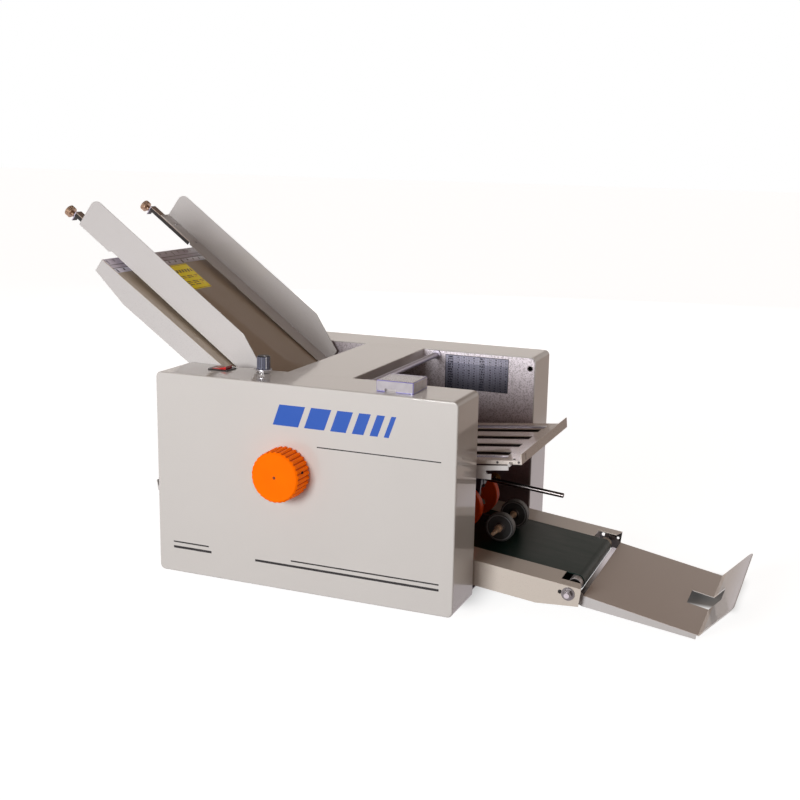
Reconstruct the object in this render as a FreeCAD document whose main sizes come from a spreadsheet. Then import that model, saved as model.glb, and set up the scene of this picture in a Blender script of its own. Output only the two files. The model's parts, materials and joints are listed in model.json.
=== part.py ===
import FreeCAD, Part
import math
import os

import Sketcher
from FreeCAD import Placement, Rotation, Vector

# Paper folding machine with two fold plates, an inclined feed tray and a belt delivery.
# Millimetres. X runs from the feed side to the delivery side, Y from the front to the back, Z up.
# All places below are measured from the front housing's lower left front corner. The shift sizes
# then bring the middle of the footprint and the underside of the feet to the origin.

doc = FreeCAD.newDocument("paper_folding_machine")
sheet = doc.addObject("Spreadsheet::Sheet", "Sizes")
nodes = []
single = []
rows = []


# ---------------------------------------------------------------- driving dimensions

class Size:
    """A number of the sheet, or a sum or product of such, with the expression that gives it."""

    def __init__(self, value, text):
        self.value = value
        self.text = text

    def __add__(self, other):
        other = as_size(other)
        return Size(self.value + other.value, "(" + self.text + " + " + other.text + ")")

    def __sub__(self, other):
        other = as_size(other)
        return Size(self.value - other.value, "(" + self.text + " - " + other.text + ")")

    def __mul__(self, other):
        other = as_size(other)
        return Size(self.value * other.value, "(" + self.text + " * " + other.text + ")")

    def __truediv__(self, other):
        other = as_size(other)
        return Size(self.value / other.value, "(" + self.text + " / " + other.text + ")")

    def __neg__(self):
        return Size(-self.value, "(0 - " + self.text + ")")

    __radd__ = __add__
    __rmul__ = __mul__

    def __rsub__(self, other):
        return as_size(other) - self


def as_size(number):
    if isinstance(number, Size):
        return number
    if number < 0:
        return Size(float(number), "(0 - " + repr(-float(number)) + ")")
    return Size(float(number), repr(float(number)))


def cosine(angle):
    return Size(math.cos(math.radians(angle.value)), "cos(" + angle.text + ")")


def sine(angle):
    return Size(math.sin(math.radians(angle.value)), "sin(" + angle.text + ")")


def size(alias, value):
    """Put a driving dimension in the next row of the sheet."""
    rows.append(alias)
    row = str(len(rows))
    sheet.set("A" + row, alias)
    sheet.set("B" + row, repr(value))
    sheet.setAlias("B" + row, alias)
    return Size(float(value), "Sizes." + alias)


# whole machine
shift_x = size("shift_x", -315.550)
shift_y = size("shift_y", -231.0)
shift_z = size("shift_z", 18.0)
machine_wide = size("machine_wide", 500.0)
wall = size("sheet_wall", 1.5)
gap = size("running_gap", 0.3)
bore_play = size("bore_play", 0.05)

# housings and the plates between them
housing_long = size("housing_long", 512.0)
housing_deep = size("housing_deep", 93.0)
housing_high = size("housing_high", 332.0)
housing_corner = size("housing_corner", 9.0)
housing_edge = size("housing_edge", 2.5)
plate_thick = size("side_plate_thick", 2.0)
plate_inset = size("side_plate_inset", 1.5)
cover_left = size("cover_left", 189.0)
cover_right = size("cover_right", 303.0)
cover_seam = size("cover_seam", 0.3)
cover_lip = size("cover_lip", 17.0)
tube_x = size("cross_tube_x", 328.0)
tube_z = size("cross_tube_z", 323.5)
tube_round = size("cross_tube_radius", 5.0)
foot_high = size("foot_high", 18.0)
foot_round = size("foot_radius", 15.0)

# feed tray and its paper guides
tray_tilt = size("tray_tilt", 35.1)
tray_top_x = size("tray_top_x", -165.0)
tray_top_z = size("tray_top_z", 493.4)
tray_long = size("tray_long", 385.0)
tray_skirt = size("tray_skirt", 37.4)
tray_end_skirt = size("tray_end_skirt", 24.0)
tray_skirt_run = size("tray_skirt_run", 76.0)
guide_tilt = size("guide_tilt", 36.5)
guide_x = size("guide_x", -226.0)
guide_z = size("guide_z", 551.0)
guide_tall = size("guide_tall", 53.0)
guide_long = size("guide_long", 430.0)
guide_start = size("guide_start", -28.0)
guide_flange = size("guide_flange", 38.0)
guide_inset = size("guide_inset", 121.0)
guide_inset_rear = size("guide_inset_rear", 104.0)
clamp_front = size("clamp_front", 147.5)
clamp_rear = size("clamp_rear", 377.0)
clamp_half = size("clamp_half_width", 8.0)
clamp_long = size("clamp_long", 78.0)
screw_drop = size("thumbscrew_drop", 10.0)
screw_round = size("thumbscrew_radius", 10.0)

# fold rollers
roller_round = size("roller_radius", 17.0)
roller_pitch = size("roller_pitch", 34.4)
roller_front = size("roller_front", 101.0)
roller_rear = size("roller_rear", 399.0)
journal = size("journal_radius", 4.0)
main_x = size("main_roller_x", 233.5)
main_z = size("main_roller_z", 194.4)
upper_bearing = size("upper_roller_bearing", 75.0)
middle_bearing = size("middle_roller_bearing", 19.7)
exit_bearing = size("exit_roller_bearing", 84.8)
feed_x = size("feed_roller_x", 180.0)
feed_z = size("feed_roller_z", 282.7)
feed_round = size("feed_roller_radius", 25.0)

# fold plates
fold_wide = size("fold_plate_wide", 276.0)
fold_front = size("fold_plate_front", 112.0)
fold_gap = size("fold_plate_gap", 3.0)
upper_tilt = size("upper_plate_tilt", 5.5)
upper_x = size("upper_plate_x", 288.0)
upper_z = size("upper_plate_z", 197.5)
upper_long = size("upper_plate_long", 289.5)
slot_wide = size("slot_wide", 24.0)
slot_step = size("slot_step", 56.0)
slot_first = size("slot_first", 161.0)
slot_end = size("slot_end", 258.8)
lip_high = size("lip_high", 10.7)
stud_round = size("stud_radius", 4.0)
flange_deep = size("plate_flange_deep", 6.0)
rest_run = size("rest_pin_run", 273.5)
rest_round = size("rest_pin_radius", 2.4)
lower_tilt = size("lower_plate_tilt", 9.5)
lower_x = size("lower_plate_x", -75.0)
lower_z = size("lower_plate_z", 103.0)
lower_long = size("lower_plate_long", 321.0)

# delivery
belt_tilt = size("belt_tilt", 6.8)
belt_x = size("belt_x", 400.0)
belt_z = size("belt_z", 74.1)
belt_thick = size("belt_thick", 1.5)
belt_front = size("belt_front", 154.0)
belt_rear = size("belt_rear", 343.0)
frame_long = size("conveyor_long", 285.0)
frame_front = size("conveyor_front", 98.0)
frame_rear = size("conveyor_rear", 400.0)
frame_deep = size("conveyor_deep", 41.0)
belt_drop = size("belt_axis_drop", 12.6)
belt_roller = size("belt_roller_radius", 10.7)
drive_run = size("belt_drive_run", 24.2)
idler_run = size("belt_idler_run", 266.4)
disc_x = size("disc_x", 446.5)
disc_z = size("disc_z", 106.6)
disc_round = size("disc_radius", 37.3)
disc_thick = size("disc_thick", 15.0)
disc_step = size("disc_step", 88.0)
disc_first = size("disc_first", 129.5)
press_x = size("press_x", 520.0)
press_z = size("press_z", 84.7)
press_round = size("press_radius", 24.0)
press_thick = size("press_thick", 14.0)
press_step = size("press_step", 80.0)
rod_tilt = size("rod_tilt", 5.5)
rod_x = size("rod_x", 391.0)
rod_z = size("rod_z", 158.6)
rod_long = size("rod_long", 222.0)
carriage_run = size("carriage_run", 75.4)
out_tilt = size("output_tilt", 10.7)
out_x = size("output_x", 690.0)
out_z = size("output_z", 24.3)
out_long = size("output_long", 171.0)
out_front = size("output_front", 112.0)
out_rear = size("output_rear", 385.0)
out_lip = size("output_lip", 68.0)
out_lip_tilt = size("output_lip_tilt", 47.0)

# controls on the front housing
knob_round = size("knob_radius", 40.0)
knob_deep = size("knob_deep", 38.0)
knob_flutes = size("knob_flutes", 30.0)
switch_x = size("switch_x", 84.3)
switch_y = size("switch_y", 63.8)
dial_x = size("dial_x", 159.7)
dial_y = size("dial_y", 65.0)
counter_x = size("counter_x", 375.0)
counter_y = size("counter_y", 18.0)
counter_long = size("counter_long", 60.0)
counter_wide = size("counter_wide", 59.0)
counter_high = size("counter_high", 17.5)

middle = machine_wide / 2
doc.recompute()


# ---------------------------------------------------------------- modelling helpers

def bind(item, path, number):
    item.setExpression(path, as_size(number).text)


def place(item, x=0, y=0, z=0, tilt=0, axis=(0, 1, 0)):
    """Place an object from the housing's corner, turned by tilt about an axis through that place."""
    tilt = as_size(tilt)
    turn = Vector(*axis)
    if tilt.value < 0:
        tilt = -tilt
        turn = -turn
    x = x + shift_x
    y = y + shift_y
    z = z + shift_z
    item.Placement = Placement(Vector(x.value, y.value, z.value), Rotation(turn, tilt.value))
    bind(item, "Placement.Base.x", x)
    bind(item, "Placement.Base.y", y)
    bind(item, "Placement.Base.z", z)
    if tilt.value > 0:
        bind(item, "Placement.Rotation.Angle", tilt)
    return item


def body(label, x=0, y=0, z=0, tilt=0, axis=(0, 1, 0), many=False):
    """A sub-part made by sketches and features: one solid, or many like ones."""
    part = doc.addObject("PartDesign::Body", label)
    part.Label = label
    part.AllowCompound = True
    place(part, x, y, z, tilt, axis)
    nodes.append(part)
    if not many:
        single.append(part)
    return part


def origin_plane(part, role):
    for feature in part.Origin.OriginFeatures:
        if feature.Role == role:
            return feature
    raise ValueError(role)


def sketch(part, plane, level):
    """A sketch parallel to an origin plane, at a level along the machine's own axis."""
    drawing = part.newObject("Sketcher::SketchObject", part.Label + "_outline")
    drawing.AttachmentSupport = (origin_plane(part, plane + "_Plane"), [""])
    drawing.MapMode = "FlatFace"
    level = as_size(level)
    if plane == "XZ":
        level = -level
    bind(drawing, "AttachmentOffset.Base.z", level)
    return drawing


def fix_point(drawing, edge, end, x, y):
    """Hold one point of a sketch at its distances from the sketch's origin."""
    x = as_size(x)
    y = as_size(y)
    across = drawing.addConstraint(Sketcher.Constraint("DistanceX", -1, 1, edge, end, x.value))
    bind(drawing, "Constraints[" + str(across) + "]", x)
    along = drawing.addConstraint(Sketcher.Constraint("DistanceY", -1, 1, edge, end, y.value))
    bind(drawing, "Constraints[" + str(along) + "]", y)


def draw_polygon(drawing, corners):
    """A closed outline of straight edges."""
    points = [Vector(as_size(u).value, as_size(v).value, 0) for u, v in corners]
    edges = []
    for start, end in zip(points, points[1:] + points[:1]):
        edges.append(drawing.addGeometry(Part.LineSegment(start, end), False))
    for edge, following in zip(edges, edges[1:] + edges[:1]):
        drawing.addConstraint(Sketcher.Constraint("Coincident", edge, 2, following, 1))
    for edge, (u, v) in zip(edges, corners):
        fix_point(drawing, edge, 1, u, v)


def draw_circle(drawing, u, v, radius):
    radius = as_size(radius)
    centre = Vector(as_size(u).value, as_size(v).value, 0)
    ring = drawing.addGeometry(Part.Circle(centre, Vector(0, 0, 1), radius.value), False)
    limit = drawing.addConstraint(Sketcher.Constraint("Radius", ring, radius.value))
    bind(drawing, "Constraints[" + str(limit) + "]", radius)
    fix_point(drawing, ring, 3, u, v)


def draw_loop(drawing, first, second, first_round, second_round):
    """Two arcs joined by their outer tangents, as a belt lies round two pulleys."""
    u1, v1 = (as_size(number).value for number in first)
    u2, v2 = (as_size(number).value for number in second)
    r1 = as_size(first_round).value
    r2 = as_size(second_round).value
    heading = math.atan2(v2 - v1, u2 - u1)
    spread = math.acos((r1 - r2) / math.hypot(u2 - u1, v2 - v1))
    ends = []
    for side in (1, -1):
        normal = Vector(math.cos(heading + side * spread), math.sin(heading + side * spread), 0)
        ends.append((Vector(u1, v1, 0) + normal * r1, Vector(u2, v2, 0) + normal * r2))
    near = Part.Circle(Vector(u1, v1, 0), Vector(0, 0, 1), r1)
    far = Part.Circle(Vector(u2, v2, 0), Vector(0, 0, 1), r2)
    start = heading + spread
    turn = 2 * math.pi
    around = drawing.addGeometry(Part.ArcOfCircle(near, start, heading - spread + turn), False)
    low_line = drawing.addGeometry(Part.LineSegment(ends[1][0], ends[1][1]), False)
    beyond = drawing.addGeometry(Part.ArcOfCircle(far, heading - spread, start), False)
    high_line = drawing.addGeometry(Part.LineSegment(ends[0][1], ends[0][0]), False)
    drawing.addConstraint(Sketcher.Constraint("Tangent", around, 2, low_line, 1))
    drawing.addConstraint(Sketcher.Constraint("Tangent", low_line, 2, beyond, 1))
    drawing.addConstraint(Sketcher.Constraint("Tangent", beyond, 2, high_line, 1))
    drawing.addConstraint(Sketcher.Constraint("Tangent", high_line, 2, around, 1))
    for arc, centre, radius in ((around, first, first_round), (beyond, second, second_round)):
        radius = as_size(radius)
        limit = drawing.addConstraint(Sketcher.Constraint("Radius", arc, radius.value))
        bind(drawing, "Constraints[" + str(limit) + "]", radius)
        fix_point(drawing, arc, 3, centre[0], centre[1])


def draw(drawing, shape):
    """A shape is a list of corners, one circle (u, v, radius) or a loop of two centres and radii."""
    if isinstance(shape, list):
        draw_polygon(drawing, shape)
    elif len(shape) == 3:
        draw_circle(drawing, *shape)
    else:
        draw_loop(drawing, *shape)


def add(part, plane, shape, low, high):
    """Pad a shape between two levels along the plane's axis."""
    start = high if plane == "XZ" else low
    drawing = sketch(part, plane, start)
    draw(drawing, shape)
    pad = part.newObject("PartDesign::Pad", part.Label + "_pad")
    pad.Profile = drawing
    bind(pad, "Length", as_size(high) - low)
    doc.recompute()
    return pad


def cut(part, plane, shape, low, high):
    """Pocket a shape between two levels along the plane's axis."""
    start = low if plane == "XZ" else high
    drawing = sketch(part, plane, start)
    draw(drawing, shape)
    before = part.Shape.Volume
    pocket = part.newObject("PartDesign::Pocket", part.Label + "_pocket")
    pocket.Profile = drawing
    bind(pocket, "Length", as_size(high) - low)
    doc.recompute()
    if part.Shape.Volume >= before - 1e-6:
        raise ValueError(part.Label + ": a pocket cuts nothing")
    return pocket


def turn(part, profile, line="V"):
    """Revolve a profile of (radius, level) about the body's Y axis, or its Z or X axis."""
    plane = "XZ" if line == "Z" else "XY"
    drawing = part.newObject("Sketcher::SketchObject", part.Label + "_profile")
    drawing.AttachmentSupport = (origin_plane(part, plane + "_Plane"), [""])
    drawing.MapMode = "FlatFace"
    if line == "X":
        profile = [(level, radius) for radius, level in profile]
    draw_polygon(drawing, profile)
    spun = part.newObject("PartDesign::Revolution", part.Label + "_turned")
    spun.Profile = drawing
    spun.ReferenceAxis = (drawing, ["H_Axis" if line == "X" else "V_Axis"])
    spun.Angle = 360
    doc.recompute()
    return spun


def repeat_round(part, feature, line, count):
    """Repeat a feature round an axis of the body's origin."""
    pattern = part.newObject("PartDesign::PolarPattern", part.Label + "_ring")
    pattern.Originals = [feature]
    pattern.Axis = (origin_plane(part, line + "_Axis"), [""])
    pattern.Angle = 360
    bind(pattern, "Occurrences", count)
    part.Tip = pattern
    doc.recompute()
    return pattern


def edges_where(shape, test):
    """Names of the edges whose end points pass a test; a full circle has one point, given twice."""
    names = []
    for number, edge in enumerate(shape.Edges, 1):
        ends = [vertex.Point for vertex in edge.Vertexes]
        if ends and test(ends[0], ends[-1]):
            names.append("Edge" + str(number))
    return names


def round_edges(part, radius, test):
    """Fillet the edges of the body's last feature that pass a test."""
    last = part.Tip
    names = edges_where(last.Shape, test)
    if not names:
        raise ValueError(part.Label + ": no edge to round")
    fillet = part.newObject("PartDesign::Fillet", part.Label + "_round")
    fillet.Base = (last, names)
    bind(fillet, "Radius", radius)
    doc.recompute()
    return fillet


def hollow(part, thick, level, axis):
    """Thin the body to a shell that is open at the flat face at a level along an axis."""
    last = part.Tip
    opened = []
    for number, face in enumerate(last.Shape.Faces, 1):
        box = face.BoundBox
        low, high = ((box.YMin, box.YMax), (box.ZMin, box.ZMax))[axis == "Z"]
        if abs(low - level) < 1e-3 and abs(high - level) < 1e-3:
            opened.append("Face" + str(number))
    shell = part.newObject("PartDesign::Thickness", part.Label + "_shell")
    shell.Base = (last, opened)
    bind(shell, "Value", thick)
    shell.Reversed = True
    shell.Mode = 0
    shell.Join = 0
    doc.recompute()
    return shell


def rectangle(u1, v1, u2, v2):
    return [(u1, v1), (u2, v1), (u2, v2), (u1, v2)]


def along(axis):
    """A test for edges that run along an axis."""
    def test(start, end):
        run = end - start
        parts = {"X": run.x, "Y": run.y, "Z": run.z}
        across = [abs(value) for name, value in parts.items() if name != axis]
        return run.Length > 1e-3 and max(across) < 1e-4
    return test


def near(value, target):
    return abs(value - as_size(target).value) < 1e-3


def hexagon(u, v, radius):
    corners = []
    for number in range(6):
        angle = math.radians(60 * number)
        corners.append((u + radius * math.cos(angle), v + radius * math.sin(angle)))
    return corners


# ---------------------------------------------------------------- places that several pieces share

def on_slope(x, z, tilt, run, rise):
    """The place that lies run along and rise above a slope that falls to the right from (x, z)."""
    across = x + cosine(tilt) * run + sine(tilt) * rise
    height = z - sine(tilt) * run + cosine(tilt) * rise
    return across, height


def beside(x, z, bearing, distance, down=False):
    """The place at a distance from (x, z), on a bearing above or below the X axis."""
    height = sine(bearing) * distance
    return x + cosine(bearing) * distance, z - height if down else z + height


main_axis = (main_x, main_z)
upper_axis = beside(main_x, main_z, upper_bearing, roller_pitch)
middle_axis = beside(main_x, main_z, middle_bearing, roller_pitch, down=True)
exit_axis = beside(middle_axis[0], middle_axis[1], exit_bearing, roller_pitch, down=True)
feed_axis = (feed_x, feed_z)
disc_axis = (disc_x, disc_z)
drive_axis = on_slope(belt_x, belt_z, belt_tilt, drive_run, -belt_drop)
idler_axis = on_slope(belt_x, belt_z, belt_tilt, idler_run, -belt_drop)
shaft_axes = [main_axis, upper_axis, middle_axis, exit_axis, feed_axis, disc_axis, drive_axis]

front_plate_front = housing_deep
front_plate_rear = housing_deep + plate_thick
rear_plate_front = machine_wide - housing_deep - plate_thick
rear_plate_rear = machine_wide - housing_deep


# ---------------------------------------------------------------- housings, plates, cover and pan

def housing(label, front):
    """A folded sheet casing, open on the side where its side plate closes it."""
    near_y = as_size(0) if front else rear_plate_rear
    far_y = near_y + housing_deep
    face = near_y if front else far_y
    opening = far_y if front else near_y
    part = body(label)
    add(part, "XZ", rectangle(0, 0, housing_long, housing_high), near_y, far_y)
    round_edges(part, housing_corner, along("Y"))
    round_edges(part, housing_edge, lambda a, b: near(a.y, face) and near(b.y, face))
    hollow(part, wall, opening.value, "Y")
    return part


def front_housing():
    part = housing("front_housing", True)
    cut(part, "XZ", (main_x, main_z, journal + 2), -1, wall + 1)
    top = housing_high - wall - 1
    above = housing_high + 1
    cut(part, "XY", rectangle(switch_x - 16, switch_y - 12, switch_x + 16, switch_y + 12), top, above)
    cut(part, "XY", (dial_x, dial_y, 4), top, above)
    hole = rectangle(counter_x + 5, counter_y + 6, counter_x + 55, counter_y + 54)
    cut(part, "XY", hole, top, above)


def rear_housing():
    part = housing("rear_housing", False)
    cut(part, "XZ", rectangle(66, 30, 94, 50), machine_wide - wall - 1, machine_wide + 1)


def side_plate(label, low):
    """A zinc-plated plate that closes a housing and carries the shafts."""
    high = low + plate_thick
    edge = housing_long - plate_inset
    part = body(label)
    outline = rectangle(plate_inset, plate_inset, edge, housing_high - plate_inset)
    add(part, "XZ", outline, low, high)
    round_edges(part, housing_corner, along("Y"))
    for x, z in shaft_axes:
        cut(part, "XZ", (x, z, 7), low, high)
    cut(part, "XZ", (503, 312.5, 4), low, high)


def top_cover():
    front = housing_deep + cover_seam
    rear = machine_wide - housing_deep - cover_seam
    top = housing_high
    under = housing_high - wall
    part = body("top_cover")
    add(part, "XY", rectangle(cover_left, front, cover_right, rear), under, top)
    inner_front = front_plate_rear + cover_seam
    inner_rear = rear_plate_front - cover_seam
    lip = rectangle(cover_right - wall, inner_front, cover_right, inner_rear)
    add(part, "XY", lip, housing_high - cover_lip, under)
    back_lip = rectangle(cover_left, inner_front, cover_left + wall, inner_rear)
    add(part, "XY", back_lip, housing_high - 12, under)
    bend = lambda a, b: all(near(point.z, top) and near(point.x, cover_right) for point in (a, b))
    round_edges(part, 1.2, bend)


def cross_bar(part, x, z, radius):
    """A round bar from plate to plate, added to a body."""
    add(part, "XZ", (x, z, radius), front_plate_rear, rear_plate_front)


def cross_tube():
    """The round stay below the top edges, with a nut at each end."""
    part = body("cross_tube", many=True)
    cross_bar(part, tube_x, tube_z, tube_round)
    for low in (front_plate_rear, rear_plate_front - 5):
        add(part, "XZ", hexagon(tube_x, tube_z, 9), low, low + 5)


def tie_rods():
    part = body("tie_rods", many=True)
    cross_bar(part, 60, 60, 6)
    cross_bar(part, 330, 50, 6)
    cross_bar(part, 110, 200, 6)


def rod_block():
    """The bar across the delivery end with the block that holds the guide rod."""
    part = body("rod_block", rod_x, 0, rod_z, rod_tilt)
    cross_bar(part, 0, 0, 6)
    add(part, "XZ", rectangle(-11, -11, 10, 11), middle - 9, middle + 9)
    round_edges(part, 2, lambda a, b: along("Y")(a, b) and abs(a.y - b.y) < 20)


def base_pan():
    """The floor between the two side plates, with turned-up edges."""
    part = body("base_pan")
    low = front_plate_rear
    high = rear_plate_front
    left = housing_corner + 2
    right = housing_long - housing_corner - 2
    add(part, "XY", rectangle(left, low, right, high), 0, 2)
    add(part, "XY", rectangle(left, low, right, low + wall), 2, 16)
    add(part, "XY", rectangle(left, high - wall, right, high), 2, 16)


def rubber_feet():
    part = body("rubber_feet", many=True)
    for x in (40, 470):
        for y in (115, 385):
            add(part, "XY", (x, y, foot_round), -foot_high, 0)
    round_edges(part, 2, lambda a, b: near(a.z, -foot_high) and near(b.z, -foot_high))


# ---------------------------------------------------------------- feed tray and guides

def feed_tray():
    """The inclined tray: a sheet with side skirts and a short skirt at its upper end."""
    part = body("feed_tray", tray_top_x, 0, tray_top_z, tray_tilt)
    low = front_plate_rear
    high = rear_plate_front
    add(part, "XY", rectangle(0, low, tray_long, high), -wall, 0)
    skirt = [(0, -wall), (0, -tray_end_skirt), (tray_skirt_run, -tray_skirt),
             (tray_long, -tray_skirt), (tray_long, -wall)]
    add(part, "XZ", skirt, low, low + wall)
    add(part, "XZ", skirt, high - wall, high)
    add(part, "YZ", rectangle(low, -tray_end_skirt, high, -wall), 0, wall)
    round_edges(part, 1.2, lambda a, b: near(a.z, 0) and near(b.z, 0) and near(a.x, 0) and near(b.x, 0))


def separator_holder():
    """The bridge below the feed roller that carries the separator pad and leads to the rollers."""
    part = body("separator_holder", tray_top_x, 0, tray_top_z, tray_tilt)
    low = front_plate_rear
    high = rear_plate_front
    start = tray_long + 1
    end = tray_long + 79
    add(part, "XY", rectangle(start, low, end, high), -3, -1.5)
    add(part, "YZ", rectangle(low, -14, high, -3), start, start + wall)
    add(part, "XY", rectangle(start + 6, middle - 28, start + 30, middle - 22), -1.5, -0.5)
    add(part, "XY", rectangle(start + 6, middle + 22, start + 30, middle + 28), -1.5, -0.5)


def separator_pad():
    part = body("separator_pad", tray_top_x, 0, tray_top_z, tray_tilt)
    start = tray_long + 7
    add(part, "XY", rectangle(start, middle - 22, start + 24, middle + 22), -1.5, 0.5)


def paper_guide(label, front):
    """A tall side guide with a rounded upper corner, a sloping lower end and a flange on the tray."""
    part = body(label, guide_x, 0, guide_z, guide_tilt)
    if front:
        outer, inner = guide_inset, guide_inset + wall
        edge = guide_inset + guide_flange
    else:
        outer, inner = machine_wide - guide_inset_rear, machine_wide - guide_inset_rear - wall
        edge = machine_wide - guide_inset_rear - guide_flange
    side = [(0, -4), (clamp_long - 4, -4), (clamp_long, 0), (guide_long, 0), (guide_long, 24),
            (guide_long - 74, guide_tall), (0, guide_tall)]
    low, high = (outer, inner) if front else (inner, outer)
    add(part, "XZ", side, low, high)
    round_edges(part, 14, lambda a, b: along("Y")(a, b) and near(a.x, 0) and near(a.z, guide_tall))
    upper_edge = edge if front else clamp_rear - clamp_half
    flange = [(0, inner), (guide_long, inner), (guide_long, edge),
              (clamp_long + 8, edge), (clamp_long, upper_edge), (0, upper_edge)]
    add(part, "XY", flange, 0, wall)
    return part


def clamp_bar(label, y):
    """The channel under a guide that hooks over the upper edge of the tray, with its screw lug."""
    part = body(label, guide_x, 0, guide_z, guide_tilt)
    top = as_size(0)
    low = y - clamp_half
    high = y + clamp_half
    add(part, "XY", rectangle(guide_start, low, clamp_long, high), -1.5, top)
    for side_low, side_high in ((low, low + wall), (high - wall, high)):
        add(part, "XZ", rectangle(guide_start, -8, clamp_long, -1.5), side_low, side_high)
    add(part, "YZ", rectangle(low + wall, -18, high - wall, -1.5), guide_start, guide_start + 2)


def thumbscrew(label, y):
    """A knurled head on a threaded stem that runs along the guide's slope."""
    x, z = on_slope(guide_x, guide_z, guide_tilt, 0, -screw_drop)
    part = body(label, x, y, z, guide_tilt)
    head = guide_start - 18
    face = head + 10
    neck = guide_start - 3
    profile = [(0, head), (screw_round - 1, head), (screw_round, head + 1), (screw_round, face - 1),
               (screw_round - 1, face), (4.5, face), (4.5, neck), (2.4, neck),
               (2.4, guide_start - gap), (0, guide_start - gap)]
    turn(part, profile, "X")
    notch = cut(part, "YZ", (screw_round + 0.3, 0, 0.8), head, face)
    repeat_round(part, notch, "X", 24)


# ---------------------------------------------------------------- fold rollers and gears

def gear_teeth(part, count, pitch_round, low, high):
    """A wheel of plain straight-sided teeth, with one tooth on the body's X axis."""
    root = pitch_round - 2.4
    tip = pitch_round + 1.7
    add(part, "XZ", (0, 0, root), low, high)
    tooth = [(root - 1, -2.0), (root, -1.9), (pitch_round, -1.2), (tip, -0.6),
             (tip, 0.6), (pitch_round, 1.2), (root, 1.9), (root - 1, 2.0)]
    first = add(part, "XZ", tooth, low, high)
    repeat_round(part, first, "Y", count)


def mesh_bearing(bearing, own_tooth, own_pitch, other_pitch, other_count):
    """Where a tooth of a gear stands so that it meshes with one whose tooth is at own_tooth."""
    half = 180.0 / other_count
    return bearing + 180 - ((own_tooth - bearing) * own_pitch / other_pitch + half)


def ridges(front, rear, radius, band, groove, depth):
    """The outline of a roller with grooves round it, from its front face to its rear face."""
    points = [(radius, front)]
    step = band + groove
    start = front + band
    while (start + step).value < as_size(rear).value:
        points += [(radius, start), (radius - depth, start),
                   (radius - depth, start + groove), (radius, start + groove)]
        start = start + step
    points.append((radius, rear))
    return points


def fold_roller(label, axis, tooth, front_end, rear_end):
    """A grooved fold roller with its journals; its gear is on the rear end."""
    part = body(label, axis[0], 0, axis[1], -tooth)
    profile = [(0, front_end), (journal, front_end), (journal, roller_front)]
    profile += ridges(roller_front, roller_rear, roller_round, 22, 6, 0.8)
    profile += [(journal, roller_rear), (journal, rear_end), (0, rear_end)]
    turn(part, profile)
    return part


def pulley(part, radius, low, high):
    """A flanged pulley on the front end of a shaft."""
    add(part, "XZ", (0, 0, radius), low, high)
    add(part, "XZ", (0, 0, radius + 2.5), low - 1.2, low)
    add(part, "XZ", (0, 0, radius + 2.5), high, high + 1.2)


GEAR_TEETH = 17
PINION_TEETH = 12
gear_low = size("gear_low", 412.0)
gear_wide = size("gear_wide", 9.0)
gear_round = roller_pitch / 2
pinion_round = gear_round * PINION_TEETH / GEAR_TEETH
pinion_bearing = size("pinion_bearing", 200.0)
inner_belt = size("inner_belt_y", 80.0)
outer_belt = size("outer_belt_y", 66.0)
drive_belt_wide = size("drive_belt_wide", 6.0)

main_tooth = upper_bearing.value
upper_tooth = mesh_bearing(upper_bearing.value, main_tooth, 1, 1, GEAR_TEETH)
middle_tooth = mesh_bearing(-middle_bearing.value, main_tooth, 1, 1, GEAR_TEETH)
exit_tooth = mesh_bearing(-exit_bearing.value, middle_tooth, 1, 1, GEAR_TEETH)
pinion_tooth = mesh_bearing(pinion_bearing.value, main_tooth, GEAR_TEETH, PINION_TEETH, PINION_TEETH)


def fold_rollers():
    behind = gear_low + gear_wide
    part = fold_roller("main_roller", main_axis, main_tooth, -22, behind)
    gear_teeth(part, GEAR_TEETH, gear_round, gear_low, behind)
    pulley(part, 9, outer_belt, outer_belt + drive_belt_wide)
    part = fold_roller("upper_roller", upper_axis, upper_tooth, inner_belt - 3, behind)
    gear_teeth(part, GEAR_TEETH, gear_round, gear_low, behind)
    pulley(part, 10, inner_belt, inner_belt + drive_belt_wide)
    part = fold_roller("middle_roller", middle_axis, middle_tooth, inner_belt - 3, behind)
    gear_teeth(part, GEAR_TEETH, gear_round, gear_low, behind)
    pulley(part, 10, inner_belt, inner_belt + drive_belt_wide)
    part = fold_roller("exit_roller", exit_axis, exit_tooth, 89, behind)
    gear_teeth(part, GEAR_TEETH, gear_round, gear_low, behind)


def motor_and_pinion():
    """The motor on its stand-off bracket behind the rear side plate, and its pinion."""
    x, z = beside(main_x, main_z, pinion_bearing, gear_round + pinion_round)
    behind = gear_low + gear_wide
    part = body("motor_pinion", x, 0, z, -pinion_tooth)
    gear_teeth(part, PINION_TEETH, pinion_round, gear_low, behind)
    add(part, "XZ", (0, 0, 3), behind, 434)
    bracket_front = behind + 4
    part = body("motor_bracket")
    centre_x = x - 4
    plate = rectangle(centre_x - 38, z - 34, centre_x + 34, z + 34)
    add(part, "XZ", plate, bracket_front, bracket_front + 3)
    for across, up in ((-32, -28), (-32, 28), (28, -28)):
        add(part, "XZ", (centre_x + across, z + up, 4), rear_plate_rear, bracket_front)
    cut(part, "XZ", (x, z, 8), bracket_front, bracket_front + 3)
    part = body("motor")
    start = bracket_front + 3
    add(part, "XZ", (x, z, 29), start, start + 58)
    round_edges(part, 3, lambda a, b: near(a.y, start + 58) and near(b.y, start + 58))
    cut(part, "XZ", (x, z, 5), start, start + 10)


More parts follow.
